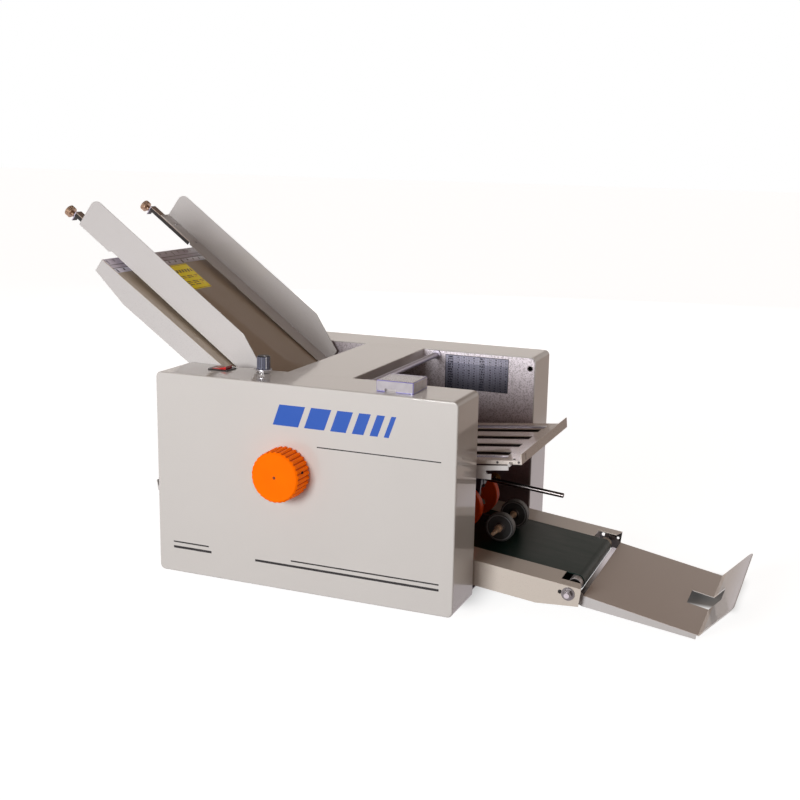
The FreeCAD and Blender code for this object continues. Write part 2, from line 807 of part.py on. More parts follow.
def bearing_bushes():
    """A flanged bush in each side plate for each shaft."""
    part = body("bearing_bushes", many=True)
    for x, z in shaft_axes:
        add(part, "XZ", (x, z, 7), front_plate_front - 3, front_plate_rear)
        add(part, "XZ", (x, z, 10), front_plate_rear, front_plate_rear + 2)
        add(part, "XZ", (x, z, 7), rear_plate_front, rear_plate_rear + 3)
        add(part, "XZ", (x, z, 10), rear_plate_front - 2, rear_plate_front)
        cut(part, "XZ", (x, z, journal + bore_play), front_plate_front - 3, front_plate_rear + 2)
        cut(part, "XZ", (x, z, journal + bore_play), rear_plate_front - 2, rear_plate_rear + 3)


def feed_roller():
    part = body("feed_roller", feed_x, 0, feed_z)
    profile = [(9, middle - 40)]
    profile += ridges(middle - 40, middle + 40, feed_round, 6, 2, 1)
    profile += [(9, middle + 40)]
    turn(part, profile)
    part = body("feed_shaft", feed_x, 0, feed_z)
    front_end = inner_belt - 3
    profile = [(0, front_end), (journal, front_end), (journal, front_plate_rear + 3),
               (6, front_plate_rear + 3), (6, middle - 44), (9, middle - 44), (9, middle + 44),
               (6, middle + 44), (6, rear_plate_front - 3), (journal, rear_plate_front - 3),
               (journal, rear_plate_rear + 5), (0, rear_plate_rear + 5)]
    turn(part, profile)
    pulley(part, 14, inner_belt, inner_belt + drive_belt_wide)


def drive_belts():
    """The three belts in the front housing that carry the drive to the other shafts."""
    part = body("drive_belts", many=True)
    inner = gap + 0.2
    outer = inner + 1.4
    runs = ((upper_axis, feed_axis, 10, 14, inner_belt), (middle_axis, disc_axis, 10, 16, inner_belt),
            (main_axis, drive_axis, 9, 9, outer_belt))
    for first, second, first_round, second_round, low in runs:
        high = low + drive_belt_wide
        low = low + 0.5
        high = high - 0.5
        add(part, "XZ", (first, second, outer + first_round, outer + second_round), low, high)
    for first, second, first_round, second_round, low in runs:
        high = low + drive_belt_wide
        cut(part, "XZ", (first, second, inner + first_round, inner + second_round), low, high)


# ---------------------------------------------------------------- fold plates

def fold_plate(label, x, z, tilt, length, lip_right):
    """The upper sheet of a fold plate: four long slots, side flanges and a lip at its outer end."""
    part = body(label, x, 0, z, -tilt)
    low = fold_front
    high = fold_front + fold_wide
    add(part, "XY", rectangle(0, low, length, high), -wall, 0)
    slot_start = 20 if lip_right else length - slot_end
    slot_stop = slot_end if lip_right else length - 20
    for number in range(4):
        centre = slot_first + slot_step * number
        slot = rectangle(slot_start, centre - slot_wide / 2, slot_stop, centre + slot_wide / 2)
        cut(part, "XY", slot, -wall, 0)
    flange_start = 60 if lip_right else 0
    flange_stop = length if lip_right else length - 60
    if lip_right:
        notch = [(length, -wall), (length, -flange_deep), (rest_run + 2.8, -flange_deep),
                 (rest_run + 2.8, -2.5), (rest_run - 2.8, -2.5), (rest_run - 2.8, -flange_deep),
                 (flange_start, -flange_deep), (flange_start, -wall)]
        lip = rectangle(low, -flange_deep, high, lip_high)
        add(part, "YZ", lip, length, length + wall)
    else:
        notch = rectangle(flange_start, -6, flange_stop, -wall)
        lip = rectangle(low, -8, high, lip_high)
        add(part, "YZ", lip, -wall, 0)
    add(part, "XZ", notch, low, low + wall)
    add(part, "XZ", notch, high - wall, high)
    return part


def upper_fold_plate():
    """The plate that shows on the delivery side, with the studs that hold its inner end."""
    part = fold_plate("upper_fold_plate", upper_x, upper_z, upper_tilt, upper_long, True)
    low = fold_front
    high = fold_front + fold_wide
    add(part, "XZ", (80, -3.5, stud_round), front_plate_rear, low)
    add(part, "XZ", (80, -3.5, stud_round), high, rear_plate_front)


def upper_fold_plate_base():
    part = body("upper_fold_plate_base", upper_x, 0, upper_z, -upper_tilt)
    low = fold_front + wall
    high = fold_front + fold_wide - wall
    under = -wall - fold_gap
    add(part, "XY", rectangle(0, low, upper_long, high), under - wall, under)


def fold_plate_hooks():
    """The two brackets on the side plates, each with an open slot and the pin that the plate rests on."""
    part = body("fold_plate_hooks", many=True)
    pin_x, pin_z = on_slope(upper_x, upper_z, -upper_tilt, rest_run, -2.6 - rest_round)
    outline = [(440, 190), (533.5, 193.5), (533.5, 208.2), (560.8, 211.4), (560.4, 218.8),
               (508, 212.6), (440, 206)]
    slot = ((527.5, 204.5), (545, 206), 3, 3)
    rear = fold_front + fold_wide
    for low, boss_low, boss_high, pin_low, pin_high in (
            (100, front_plate_rear, 100, 102, fold_front + wall - 0.1),
            (398, 400, rear_plate_front, rear - wall + 0.1, 398)):
        add(part, "XZ", outline, low, low + 2)
        cut(part, "XZ", slot, low, low + 2)
        add(part, "XZ", (pin_x, pin_z, rest_round), pin_low, pin_high)
        add(part, "XZ", (460, 198, 6), boss_low, boss_high)
        add(part, "XZ", (495, 200, 6), boss_low, boss_high)


def second_fold_plate():
    fold_plate("second_fold_plate", lower_x, lower_z, lower_tilt, lower_long, False)


def second_fold_plate_base():
    """The lower sheet of the second fold plate on its two bars between the side plates."""
    part = body("second_fold_plate_base", lower_x, 0, lower_z, -lower_tilt)
    low = fold_front + wall
    high = fold_front + fold_wide - wall
    under = -wall - fold_gap
    add(part, "XY", rectangle(0, low, lower_long, high), under - wall, under)
    for start in (110, 250):
        tab = rectangle(start, front_plate_rear, start + 20, rear_plate_front)
        add(part, "XY", tab, under - wall - 8, under - wall)


def fold_stop(label, x, z, tilt, run):
    """A stop bar between the two sheets, with two finger pads that stand up through the slots."""
    part = body(label, x, 0, z, -tilt, many=True)
    low = fold_front + 8
    high = fold_front + fold_wide - 8
    under = -wall - fold_gap
    add(part, "XY", rectangle(run, low, run + 12, high), under + gap, -wall - gap)
    for number in (0, 3):
        centre = slot_first + slot_step * number
        pad = rectangle(run + 1, centre - 5, run + 11, centre + 5)
        add(part, "XY", pad, -wall - gap, 4)


# ---------------------------------------------------------------- delivery

def delivery_chute():
    """The two guide sheets that lead the folded sheet down to the belt."""
    tilt = size("chute_tilt", 33.8)
    part = body("delivery_chute", 290, 0, 163, tilt)
    low = front_plate_rear
    high = rear_plate_front
    lower = rectangle(0, low, 140, high)
    add(part, "XY", lower, -7, -5.5)
    for start in (40, 92):
        post = rectangle(start, -5.5, start + 6, 7)
        add(part, "XZ", post, low, low + 4)
        add(part, "XZ", post, high - 4, high)
    add(part, "XY", rectangle(0, low, 104, high), 7, 8.5)


def delivery_discs():
    part = body("delivery_discs", disc_x, 0, disc_z, many=True)
    for number in range(3):
        centre = disc_first + disc_step * number
        low = centre - disc_thick / 2
        high = centre + disc_thick / 2
        add(part, "XZ", (0, 0, disc_round), low, high)
    rim = lambda a, b: abs(math.hypot(a.x, a.z) - disc_round.value) < 1e-3
    round_edges(part, 2, rim)
    hole = cut(part, "XZ", (7.9, 15.6, 7), 110, 350)
    repeat_round(part, hole, "Y", 3)
    cut(part, "XZ", (0, 0, journal), 110, 350)


def disc_shaft():
    part = body("disc_shaft", disc_x, 0, disc_z)
    front_end = inner_belt - 3
    rear_end = rear_plate_rear + 5
    turn(part, [(0, front_end), (journal, front_end), (journal, rear_end), (0, rear_end)])
    pulley(part, 16, inner_belt, inner_belt + drive_belt_wide)


def guide_rod():
    x, z = on_slope(rod_x, rod_z, rod_tilt, 10, 0)
    part = body("guide_rod", x, middle, z, rod_tilt)
    turn(part, [(0, 0), (4, 0), (4, rod_long - 10.8), (3.2, rod_long - 10), (0, rod_long - 10)], "X")


def press_carriage():
    """The block that slides on the guide rod, with the arm that holds the press wheels' shaft."""
    x, z = on_slope(rod_x, rod_z, rod_tilt, carriage_run, 0)
    part = body("press_carriage", x, 0, z, rod_tilt)
    across = press_x - x
    drop = z - press_z
    run = cosine(rod_tilt) * across + sine(rod_tilt) * drop
    rise = sine(rod_tilt) * across - cosine(rod_tilt) * drop
    arm_front = 228
    arm_rear = 233
    eye_front = arm_front - 12.5
    leg = [(-1, -2), (-1, rise - 6), (run, rise - 6), (run, rise + 6), (11, rise + 6), (11, -2)]
    add(part, "YZ", (middle, 0, 10), -12, 12)
    add(part, "XZ", rectangle(-1, -8, 11, 6), arm_front, middle - 5)
    add(part, "XZ", leg, arm_front, arm_rear)
    add(part, "XZ", (run, rise, 9), eye_front, arm_rear)
    cut(part, "XZ", (run, rise, journal + bore_play), eye_front, arm_rear)
    cut(part, "YZ", (middle, 0, 4 + bore_play), -12, 12)


def press_wheels():
    part = body("press_wheels", press_x, 0, press_z, many=True)
    for side in (-1, 1):
        centre = middle + press_step / 2 * side - 4
        low = centre - press_thick / 2
        high = centre + press_thick / 2
        add(part, "XZ", (0, 0, press_round), low, high)
    round_edges(part, 2, lambda a, b: abs(math.hypot(a.x, a.z) - press_round.value) < 1e-3)
    cut(part, "XZ", (0, 0, 6), 150, 350)


def press_wheel_shaft():
    """The shaft of the press wheels with a hub in each wheel."""
    part = body("press_wheel_shaft", press_x, 0, press_z)
    front_wheel = middle - press_step / 2 - 4
    rear_wheel = middle + press_step / 2 - 4
    profile = [(0, 164), (3, 164), (3, 176), (journal, 176), (journal, front_wheel - 14),
               (6, front_wheel - 14), (6, front_wheel + 8), (journal, front_wheel + 8),
               (journal, rear_wheel - 9), (6, rear_wheel - 9), (6, rear_wheel + 14),
               (journal, rear_wheel + 14), (journal, 330), (0, 330)]
    turn(part, profile)


def conveyor_frame():
    """The two rails with their top flanges and the bed under the belt's upper run."""
    part = body("conveyor_frame", belt_x, 0, belt_z, belt_tilt)
    low = frame_front
    high = frame_rear
    rail = [(0, 0), (frame_long, 0), (frame_long, -29), (219, -frame_deep), (0, -frame_deep)]
    add(part, "XZ", rail, low, low + wall)
    add(part, "XZ", rail, high - wall, high)
    notch = 248
    end = frame_long
    front_flange = [(0, low + wall), (end, low + wall), (end - 6, low + 22), (notch, low + 22),
                    (notch, belt_front - 0.5), (0, belt_front - 0.5)]
    rear_flange = [(0, high - wall), (end, high - wall), (end - 6, high - 22), (notch, high - 22),
                   (notch, belt_rear + 0.5), (0, belt_rear + 0.5)]
    add(part, "XY", front_flange, -wall, 0)
    add(part, "XY", rear_flange, -wall, 0)
    add(part, "XY", rectangle(42, low + wall, 244, high - wall), -3.8, -2.3)
    spare = (253.5, -belt_drop, 3.3)
    axle = (idler_run, -belt_drop, 4)
    drive = (drive_run, -belt_drop, 12)
    for rail_low in (low, high - wall):
        cut(part, "XZ", spare, rail_low, rail_low + wall)
        cut(part, "XZ", axle, rail_low, rail_low + wall)
        cut(part, "XZ", drive, rail_low, rail_low + wall)
    cut(part, "XZ", (279.5, -belt_drop, 2.4), high - wall, high)
    for run in (30, 95):
        add(part, "XZ", (run, -31, 5), front_plate_rear, low)
        add(part, "XZ", (run, -31, 5), high, rear_plate_front)


def belt_rollers():
    part = body("belt_drive_roller", drive_axis[0], 0, drive_axis[1])
    front_end = outer_belt - 3
    rear_end = rear_plate_rear + 5
    turn(part, [(0, front_end), (journal, front_end), (journal, 140), (belt_roller, 140),
                (belt_roller, 357), (journal, 357), (journal, rear_end), (0, rear_end)])
    pulley(part, 9, outer_belt, outer_belt + drive_belt_wide)
    part = body("belt_idler_roller", idler_axis[0], 0, idler_axis[1])
    inner = journal + bore_play
    turn(part, [(inner, 140), (belt_roller, 140), (belt_roller, 357), (inner, 357)])


def idler_axle():
    """The fixed axle of the end roller, clamped to the rails with washers and nuts."""
    part = body("idler_axle", idler_axis[0], 0, idler_axis[1])
    add(part, "XZ", (0, 0, journal), 92, 406)
    add(part, "XZ", (0, 0, 10.5), 96.4, frame_front)
    add(part, "XZ", hexagon(0, 0, 7.5), 90, 96.4)
    add(part, "XZ", (0, 0, 10.5), frame_rear, 401.6)
    add(part, "XZ", hexagon(0, 0, 7.5), 401.6, 408)


def conveyor_belt():
    part = body("conveyor_belt", belt_x, 0, belt_z, belt_tilt)
    first = (drive_run, -belt_drop)
    second = (idler_run, -belt_drop)
    inner = belt_roller + gap
    outer = inner + belt_thick
    add(part, "XZ", (first, second, outer, outer), belt_front, belt_rear)
    cut(part, "XZ", (first, second, inner, inner), belt_front, belt_rear)


def transfer_strip():
    """The narrow strip that bridges the end of the belt and the output tray."""
    part = body("transfer_strip", out_x, 0, out_z, out_tilt)
    add(part, "XY", rectangle(-14.6, 150, 12, 355), -2.7, -1.5)


def output_tray():
    """The delivery tray: a folded sheet with side skirts, a finger notch and a turned-up lip."""
    part = body("output_tray", out_x, 0, out_z, out_tilt)
    low = out_front
    high = out_rear
    rise = out_lip_tilt + out_tilt
    add(part, "XY", rectangle(-6.5, low, out_long, high), -wall, 0)
    up_x = cosine(rise)
    up_z = sine(rise)
    lip = [(out_long, 0), (out_long, -wall), (out_long + wall * up_z, -wall),
           (out_long + up_x * out_lip + wall * up_z, up_z * out_lip - wall * up_x),
           (out_long + up_x * out_lip, up_z * out_lip)]
    add(part, "XZ", lip, low, high)
    tip_x = (out_long + up_x * out_lip).value
    round_edges(part, 14, lambda a, b: abs(a.y - b.y) < 1e-4 and a.x > tip_x - 1 and b.x > tip_x - 1
                and (near(a.y, low) or near(a.y, high)))
    notch_low = 220.5
    notch_high = 278.5
    cut(part, "XY", rectangle(136.5, notch_low, out_long + 14, notch_high), -5, 24)
    side = [(-36, -8), (-36, 8), (-20, 8), (-2, -wall), (out_long - 2, -wall), (out_long - 2, -8),
            (-4, -17.5), (-20, -14)]
    across = idler_axis[0] - out_x
    height = idler_axis[1] - out_z
    axle_run = cosine(out_tilt) * across - sine(out_tilt) * height
    axle_rise = sine(out_tilt) * across + cosine(out_tilt) * height
    for side_low in (low, high - wall):
        add(part, "XZ", side, side_low, side_low + wall)
        cut(part, "XZ", (axle_run, axle_rise, journal), side_low, side_low + wall)


# ---------------------------------------------------------------- controls

def hand_knob():
    """The large fluted knob on the front end of the main roller's shaft."""
    part = body("hand_knob", main_x, 0, main_z)
    rear_face = -2
    front_face = -knob_deep - 2
    profile = [(0, front_face), (knob_round - 3, front_face), (knob_round, front_face + 3),
               (knob_round + 1, rear_face), (0, rear_face)]
    turn(part, profile)
    flute = cut(part, "XZ", (knob_round + 2, 0, 3.2), front_face, rear_face)
    repeat_round(part, flute, "Y", knob_flutes)
    cut(part, "XZ", (0, 0, journal), -22, rear_face)
    cut(part, "XZ", (0, 0, 1.5), front_face, front_face + 4)
    add(part, "XZ", (0, 0, 12), rear_face, -0.5)
    cut(part, "XZ", (0, 0, journal), rear_face, -0.5)


def switch_bezel():
    part = body("switch_bezel")
    top = housing_high
    rim = rectangle(switch_x - 18.7, switch_y - 14.7, switch_x + 18.7, switch_y + 14.7)
    shell = rectangle(switch_x - 15.8, switch_y - 11.8, switch_x + 15.8, switch_y + 11.8)
    add(part, "XY", rim, top, top + 2)
    round_edges(part, 2, along("Z"))
    add(part, "XY", shell, top - 26, top)
    cut(part, "XY", rectangle(switch_x - 14, switch_y - 10, switch_x + 14, switch_y + 10), top - 12, top + 2)
    cut(part, "XZ", (switch_x, top - 1, 1.6 + bore_play), switch_y - 11.2, switch_y + 11.2)


def power_rocker():
    """The two-ended rocker on its pivot pin, resting with one end down."""
    part = body("power_rocker", switch_x, 0, housing_high)
    low = switch_y - 9.6
    high = switch_y + 9.6
    wings = [(12.4, 0.5), (12.6, 6.5), (0, 2.8), (-12.8, 2.4), (-12.8, -1.5), (-4, -6), (4, -6)]
    add(part, "XZ", wings, low, high)
    add(part, "XZ", (0, -1, 1.6), switch_y - 10.9, switch_y + 10.9)


def speed_dial():
    part = body("speed_pot")
    top = housing_high
    add(part, "XY", (dial_x, dial_y, 9), top - wall - 14, top - wall)
    add(part, "XY", (dial_x, dial_y, 4), top - wall, top + 1)
    add(part, "XY", (dial_x, dial_y, 10.5), top, top + 1)
    add(part, "XY", hexagon(dial_x, dial_y, 9), top + 1, top + 5)
    add(part, "XY", (dial_x, dial_y, 2.9), top + 5, top + 19)
    part = body("speed_knob", dial_x, dial_y, housing_high)
    base = 5.5
    high = 28.5
    turn(part, [(3, base), (13.4, base), (13.4, base + 1.6), (10.8, base + 2.6), (10.6, high - 1.5),
                (9, high), (0, high), (0, 19.5), (3, 19.5)], "Z")
    flute = cut(part, "XY", (11.2, 0, 0.9), base + 2.6, high)
    repeat_round(part, flute, "Z", 16)


def counter():
    """The sheet counter under its clear hinged lid."""
    part = body("counter_body")
    left = counter_x + 5.2
    right = counter_x + 54.8
    front = counter_y + 6.2
    rear = counter_y + 53.8
    top = housing_high
    add(part, "XY", rectangle(left, front, right, rear), top - 30, top + 4)
    add(part, "XY", rectangle(left - 3, front - 3, right + 3, rear + 2), top, top + 1)
    add(part, "XY", rectangle(left + 8, front + 14, right - 8, front + 32), top + 4, top + 10)
    hinge_y = counter_y + counter_wide + 1
    hinge_z = top + 1.7
    add(part, "XY", rectangle(395, rear, 415, hinge_y + 1.2), top, top + 1)
    add(part, "YZ", (hinge_y, hinge_z, 1.2), 396, 414)
    part = body("counter_lid")
    left = counter_x
    right = counter_x + counter_long
    front = counter_y
    rear = counter_y + counter_wide
    base = top + 0.4
    add(part, "XY", rectangle(left, front, right, rear), base, base + counter_high)
    round_edges(part, 2.5, lambda a, b: along("Z")(a, b) or (near(a.z, base + counter_high)
                                                            and near(b.z, base + counter_high)))
    hollow(part, 1.5, base.value, "Z")
    cut(part, "XZ", rectangle(left + 14, base, left + 32, base + 5), front - 1, front + 2)
    cut(part, "XZ", rectangle(394.5, base, 415.5, base + 3), rear - 2, rear + 1)
    for low, high in ((386, 394), (416, 424)):
        add(part, "YZ", (hinge_y, hinge_z, 1.2), low, high)


def control_board():
    part = body("control_board")
    add(part, "XZ", rectangle(30, 90, 140, 190), 78, 79.6)
    for x in (36, 134):
        for z in (96, 184):
            add(part, "XZ", (x, z, 3), 79.6, front_plate_front)
    add(part, "XZ", rectangle(44, 104, 74, 140), 56, 78)
    add(part, "XZ", rectangle(84, 150, 124, 174), 66, 78)


def power_inlet():
    part = body("power_inlet")
    back = machine_wide
    add(part, "XZ", rectangle(58, 28, 102, 52), back, back + 2)
    add(part, "XZ", rectangle(66.3, 30.3, 93.7, 49.7), back - 24, back)
    cut(part, "XZ", rectangle(68.5, 32, 91.5, 48), back - 16, back + 2)
    for x in (73, 80, 87):
        add(part, "XZ", rectangle(x - 1, 39, x + 1, 43), back - 16, back - 2)


# ---------------------------------------------------------------- build, check and export

front_housing()
rear_housing()
side_plate("front_side_plate", front_plate_front)
side_plate("rear_side_plate", rear_plate_front)
top_cover()
cross_tube()
tie_rods()
rod_block()
base_pan()
rubber_feet()
feed_tray()
separator_holder()
separator_pad()
paper_guide("front_paper_guide", True)
paper_guide("rear_paper_guide", False)
clamp_bar("front_clamp_bar", clamp_front)
clamp_bar("rear_clamp_bar", clamp_rear)
thumbscrew("front_thumbscrew", clamp_front)
thumbscrew("rear_thumbscrew", clamp_rear)
fold_rollers()
motor_and_pinion()
bearing_bushes()
feed_roller()
drive_belts()
upper_fold_plate()
upper_fold_plate_base()
fold_plate_hooks()
second_fold_plate()
second_fold_plate_base()
fold_stop("upper_fold_stop", upper_x, upper_z, upper_tilt, 120)
fold_stop("lower_fold_stop", lower_x, lower_z, lower_tilt, 140)
delivery_chute()
delivery_discs()
disc_shaft()
guide_rod()
press_carriage()
press_wheels()
press_wheel_shaft()
conveyor_frame()
belt_rollers()
idler_axle()
conveyor_belt()
transfer_strip()
output_tray()
hand_knob()
switch_bezel()
power_rocker()
speed_dial()
counter()
control_board()
power_inlet()

doc.recompute()
for item in doc.Objects:
    if "Invalid" in item.State or "Error" in item.State:
        raise ValueError(item.Label + ": " + ", ".join(item.State))
for node in nodes:
    if node.Shape.isNull() or not node.Shape.isValid() or not node.Shape.Solids:
        raise ValueError(node.Label + ": no valid solid")

for node in single:
    if len(node.Shape.Solids) != 1:
        raise ValueError(node.Label + ": " + str(len(node.Shape.Solids)) + " solids")

os.makedirs("parts", exist_ok=True)
for node in nodes:
    node.Shape.exportStep(os.path.join("parts", node.Label + ".step"))
print(len(nodes), "sub-parts written")
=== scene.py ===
import json
import math

import bpy
from mathutils import Matrix, Vector

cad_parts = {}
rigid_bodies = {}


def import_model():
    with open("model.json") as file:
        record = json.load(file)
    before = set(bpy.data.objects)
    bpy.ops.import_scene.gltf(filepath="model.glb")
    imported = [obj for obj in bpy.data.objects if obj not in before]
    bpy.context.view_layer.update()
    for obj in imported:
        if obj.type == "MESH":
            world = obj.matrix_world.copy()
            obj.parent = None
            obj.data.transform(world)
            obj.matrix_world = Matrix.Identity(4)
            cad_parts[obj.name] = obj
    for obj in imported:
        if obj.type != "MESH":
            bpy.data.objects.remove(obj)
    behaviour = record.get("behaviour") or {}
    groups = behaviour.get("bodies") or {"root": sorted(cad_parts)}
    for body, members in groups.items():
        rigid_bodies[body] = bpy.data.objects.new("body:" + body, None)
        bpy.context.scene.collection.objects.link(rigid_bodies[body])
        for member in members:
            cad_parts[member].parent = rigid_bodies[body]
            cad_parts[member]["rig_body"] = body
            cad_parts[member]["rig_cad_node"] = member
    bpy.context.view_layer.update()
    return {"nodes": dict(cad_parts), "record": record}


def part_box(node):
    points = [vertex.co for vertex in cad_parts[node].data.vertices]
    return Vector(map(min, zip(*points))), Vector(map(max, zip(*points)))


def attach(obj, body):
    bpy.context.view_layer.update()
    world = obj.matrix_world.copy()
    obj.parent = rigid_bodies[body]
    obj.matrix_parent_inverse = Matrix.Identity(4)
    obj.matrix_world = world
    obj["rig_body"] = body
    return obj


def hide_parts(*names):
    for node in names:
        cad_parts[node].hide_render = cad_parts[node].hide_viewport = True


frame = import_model()
MM = 0.001

# The machine's own measures are counted in millimetres from the front housing's lower left front
# corner, which lies at this place of the frame.
front_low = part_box("front_housing")[0]
CORNER = Vector((front_low.x, front_low.y, front_low.z))


def at(x, y, z):
    """A place of the frame, from millimetres counted from the front housing's corner."""
    return CORNER + Vector((x, y, z)) * MM


class Slope:
    """A sheet's own directions: the run down its slope, the width across and the rise off it."""

    def __init__(self, x, z, tilt):
        self.x = x
        self.z = z
        self.angle = math.radians(tilt)

    def spot(self, run, y, rise):
        """A place on the sheet."""
        return at(self.x + math.cos(self.angle) * run + math.sin(self.angle) * rise, y,
                  self.z - math.sin(self.angle) * run + math.cos(self.angle) * rise)

    def up(self):
        """The direction straight off the sheet."""
        return Vector((math.sin(self.angle), 0, math.cos(self.angle)))

    def move(self, step):
        """The move of one step down the run."""
        return math.cos(self.angle) * step, 0, -math.sin(self.angle) * step


# The machine's own directions, then each sheet: the x and z of its upper end, and its tilt in degrees.
LEVEL = Slope(0, 0, 0)
GUIDE = Slope(-226.0, 551.0, 36.5)
TRAY_TOP = Slope(-165.0, 493.4, 35.1)
FOLD = Slope(288.0, 197.5, -5.5)
BELT = Slope(400.0, 74.1, 6.8)
OUTPUT = Slope(690.0, 24.3, 10.7)

DISC_AXIS = (446.5, 106.6)       # x and z
PRESS_AXIS = (520.0, 84.7)
KNOB_AXIS = (233.5, 194.4)
KNOB_FRONT = -40.0               # y of the hand knob's face
KNOB_RADIUS = 39.5
SPEED_AXIS = (159.7, 65.0)       # x and y
CASE_TOP = 332.0                 # z of the housings' top
END_AXLE = (266.4, -12.6)        # run and rise on the conveyor


# ---------------------------------------------------------------- shader maths

# A Mix node's sockets by number, because their names repeat: the factor, two numbers, two colours.
FACTOR, NUMBER_A, NUMBER_B, COLOUR_A, COLOUR_B, COLOUR_OUT = 0, 2, 3, 6, 7, 2


class Wire:
    """A socket of a graph, with operators that add the Math nodes they need."""

    def __init__(self, graph, socket):
        self.graph = graph
        self.socket = socket

    def maths(self, operation, *others):
        """A Math node fed by this wire and by others, or by plain numbers."""
        return self.graph.node("ShaderNodeMath", {"operation": operation}, {
            number: value for number, value in enumerate((self,) + others)})

    def __add__(self, other):
        return self.maths("ADD", other)

    def __sub__(self, other):
        return self.maths("SUBTRACT", other)

    def __mul__(self, other):
        return self.maths("MULTIPLY", other)

    def __rsub__(self, other):
        return (self * -1.0) + other

    def __gt__(self, other):
        return self.maths("GREATER_THAN", other)

    def __lt__(self, other):
        return self.maths("LESS_THAN", other)

    __radd__ = __add__
    __rmul__ = __mul__

    def size(self):
        """The value without its sign."""
        return self.maths("ABSOLUTE")

    def part(self):
        """The value less its whole number."""
        return self.maths("FRACT")

    def wave(self):
        """The sine."""
        return self.maths("SINE")

    def away(self, other):
        """The distance from an axis, given this coordinate and the other one across it."""
        return (self * self + other * other).maths("SQRT")

    def inside(self, low, high):
        """1 between two limits, 0 outside."""
        return (self > low) * (self < high)

    def soft(self, low, high):
        """A smooth step from 0 at low to 1 at high."""
        return self.graph.node("ShaderNodeMapRange", {"interpolation_type": "SMOOTHSTEP"}, {
            "Value": self, "From Min": low, "From Max": high})


class Graph:
    """A tree of shader nodes, which all come from its node method."""

    def __init__(self, tree):
        self.tree = tree

    def node(self, kind, settings=None, inputs=None, output=0):
        """Add a node: its settings first, then the values or links of its sockets."""
        made = self.tree.nodes.new(kind)
        for setting, value in (settings or {}).items():
            setattr(made, setting, value)
        for socket, value in (inputs or {}).items():
            if isinstance(value, Wire):
                self.tree.links.new(value.socket, made.inputs[socket])
            else:
                made.inputs[socket].default_value = value
        return Wire(self, made.outputs[output])

    def outlets(self, kind, inputs=None):
        """Add a node and give its outputs by name."""
        made = self.node(kind, None, inputs).socket.node
        return {out.name: Wire(self, out) for out in made.outputs}

    def axes(self, origin=(0, 0, 0), turn=(0, 0, 0)):
        """Object coordinates in metres, counted from an origin and turned, as three wires."""
        moved = self.node("ShaderNodeMapping", {"vector_type": "TEXTURE"}, {
            "Vector": self.outlets("ShaderNodeTexCoord")["Object"],
            "Location": tuple(origin), "Rotation": tuple(turn)})
        return tuple(self.outlets("ShaderNodeSeparateXYZ", {"Vector": moved}).values())

    def on(self, slope):
        """The run, the width and the rise of a sheet, in metres, as three wires."""
        return self.axes(at(slope.x, 0, slope.z), (0, slope.angle, 0))

    def noise(self, scale, detail=2.0, roughness=0.5, stretch=None):
        """A noise from 0 to 1 on the object's own coordinates, which can be stretched."""
        place = self.outlets("ShaderNodeTexCoord")["Object"]
        if stretch:
            place = self.node("ShaderNodeMapping", None, {"Vector": place, "Scale": stretch})
        return self.node("ShaderNodeTexNoise", None, {
            "Vector": place, "Scale": scale, "Detail": detail, "Roughness": roughness})

    def mix(self, factor, first, second):
        """A colour between two, each a tuple or a wire."""
        def full(colour):
            return colour if isinstance(colour, Wire) else (*colour, 1)
        return self.node("ShaderNodeMix", {"data_type": "RGBA"}, {
            FACTOR: factor, COLOUR_A: full(first), COLOUR_B: full(second)}, output=COLOUR_OUT)


class Paint(Graph):
    """A material under construction, with the Principled shader that its wires feed."""

    def __init__(self, name, colour, roughness, **constants):
        self.material = bpy.data.materials.new(name)
        self.material.use_nodes = True
        super().__init__(self.material.node_tree)
        self.shader = self.tree.nodes["Principled BSDF"]
        self.shader.inputs["Base Color"].default_value = (*colour, 1)
        self.shader.inputs["Roughness"].default_value = roughness
        for socket, value in constants.items():
            self.shader.inputs[socket.replace("_", " ")].default_value = value

    def fed(self, socket):
        """The wire that already feeds one of the shader's sockets."""
        return Wire(self, self.shader.inputs[socket].links[0].from_socket)

    def set(self, socket, wire):
        """Feed one of the shader's sockets."""
        self.tree.links.new(wire.socket, self.shader.inputs[socket])

    def bump(self, height, strength):
        """A relief of a fifth of a millimetre."""
        raised = self.node("ShaderNodeBump", None, {
            "Height": height, "Strength": strength, "Distance": 0.2 * MM})
        self.set("Normal", raised)


def srgb(red, green, blue):
    """A colour given as a screen shows it, made linear."""
    def linear(level):
        level /= 255
        return level / 12.92 if level <= 0.04045 else ((level + 0.055) / 1.055) ** 2.4
    return linear(red), linear(green), linear(blue)


def darker(colour, share):
    """A linear colour cut down to a share of itself."""
    return tuple(channel * share for channel in colour)


# ---------------------------------------------------------------- finishes

# The paints of the casings, the trays and the conveyor's rails.
CASE = srgb(213, 212, 210)
TRAY = srgb(212, 211, 212)
RAIL = srgb(217, 209, 199)

# The print of the front face: left, right, low and high edge of each line, then the slanted bars'
# low and high edge, their lean, and the left edge and width of each.
FRONT_LINES = ((27, 93, 50.2, 52.6), (27, 98, 40.6, 44.6), (241.3, 489.2, 48.9, 51.2),
               (177.8, 489.4, 39.6, 43.4), (286, 488, 238.4, 240.2))
BAR_BAND = (267, 300)
BAR_LEAN = 0.36
FRONT_BARS = ((114, 44), (168, 34), (212, 26), (248, 19), (277, 13), (300, 8))


def baked(paint, colour):
    """The slow drift of a baked paint, and the tone that it gives a colour."""
    drift = paint.noise(6.0, 3.0)
    return drift, paint.mix(drift, darker(colour, 0.94), colour)


def specks(paint, fine=900.0):
    """Fine specks: 1 inside them and 0 between them."""
    return paint.noise(fine, 3.0, 0.6).soft(0.56, 0.68)


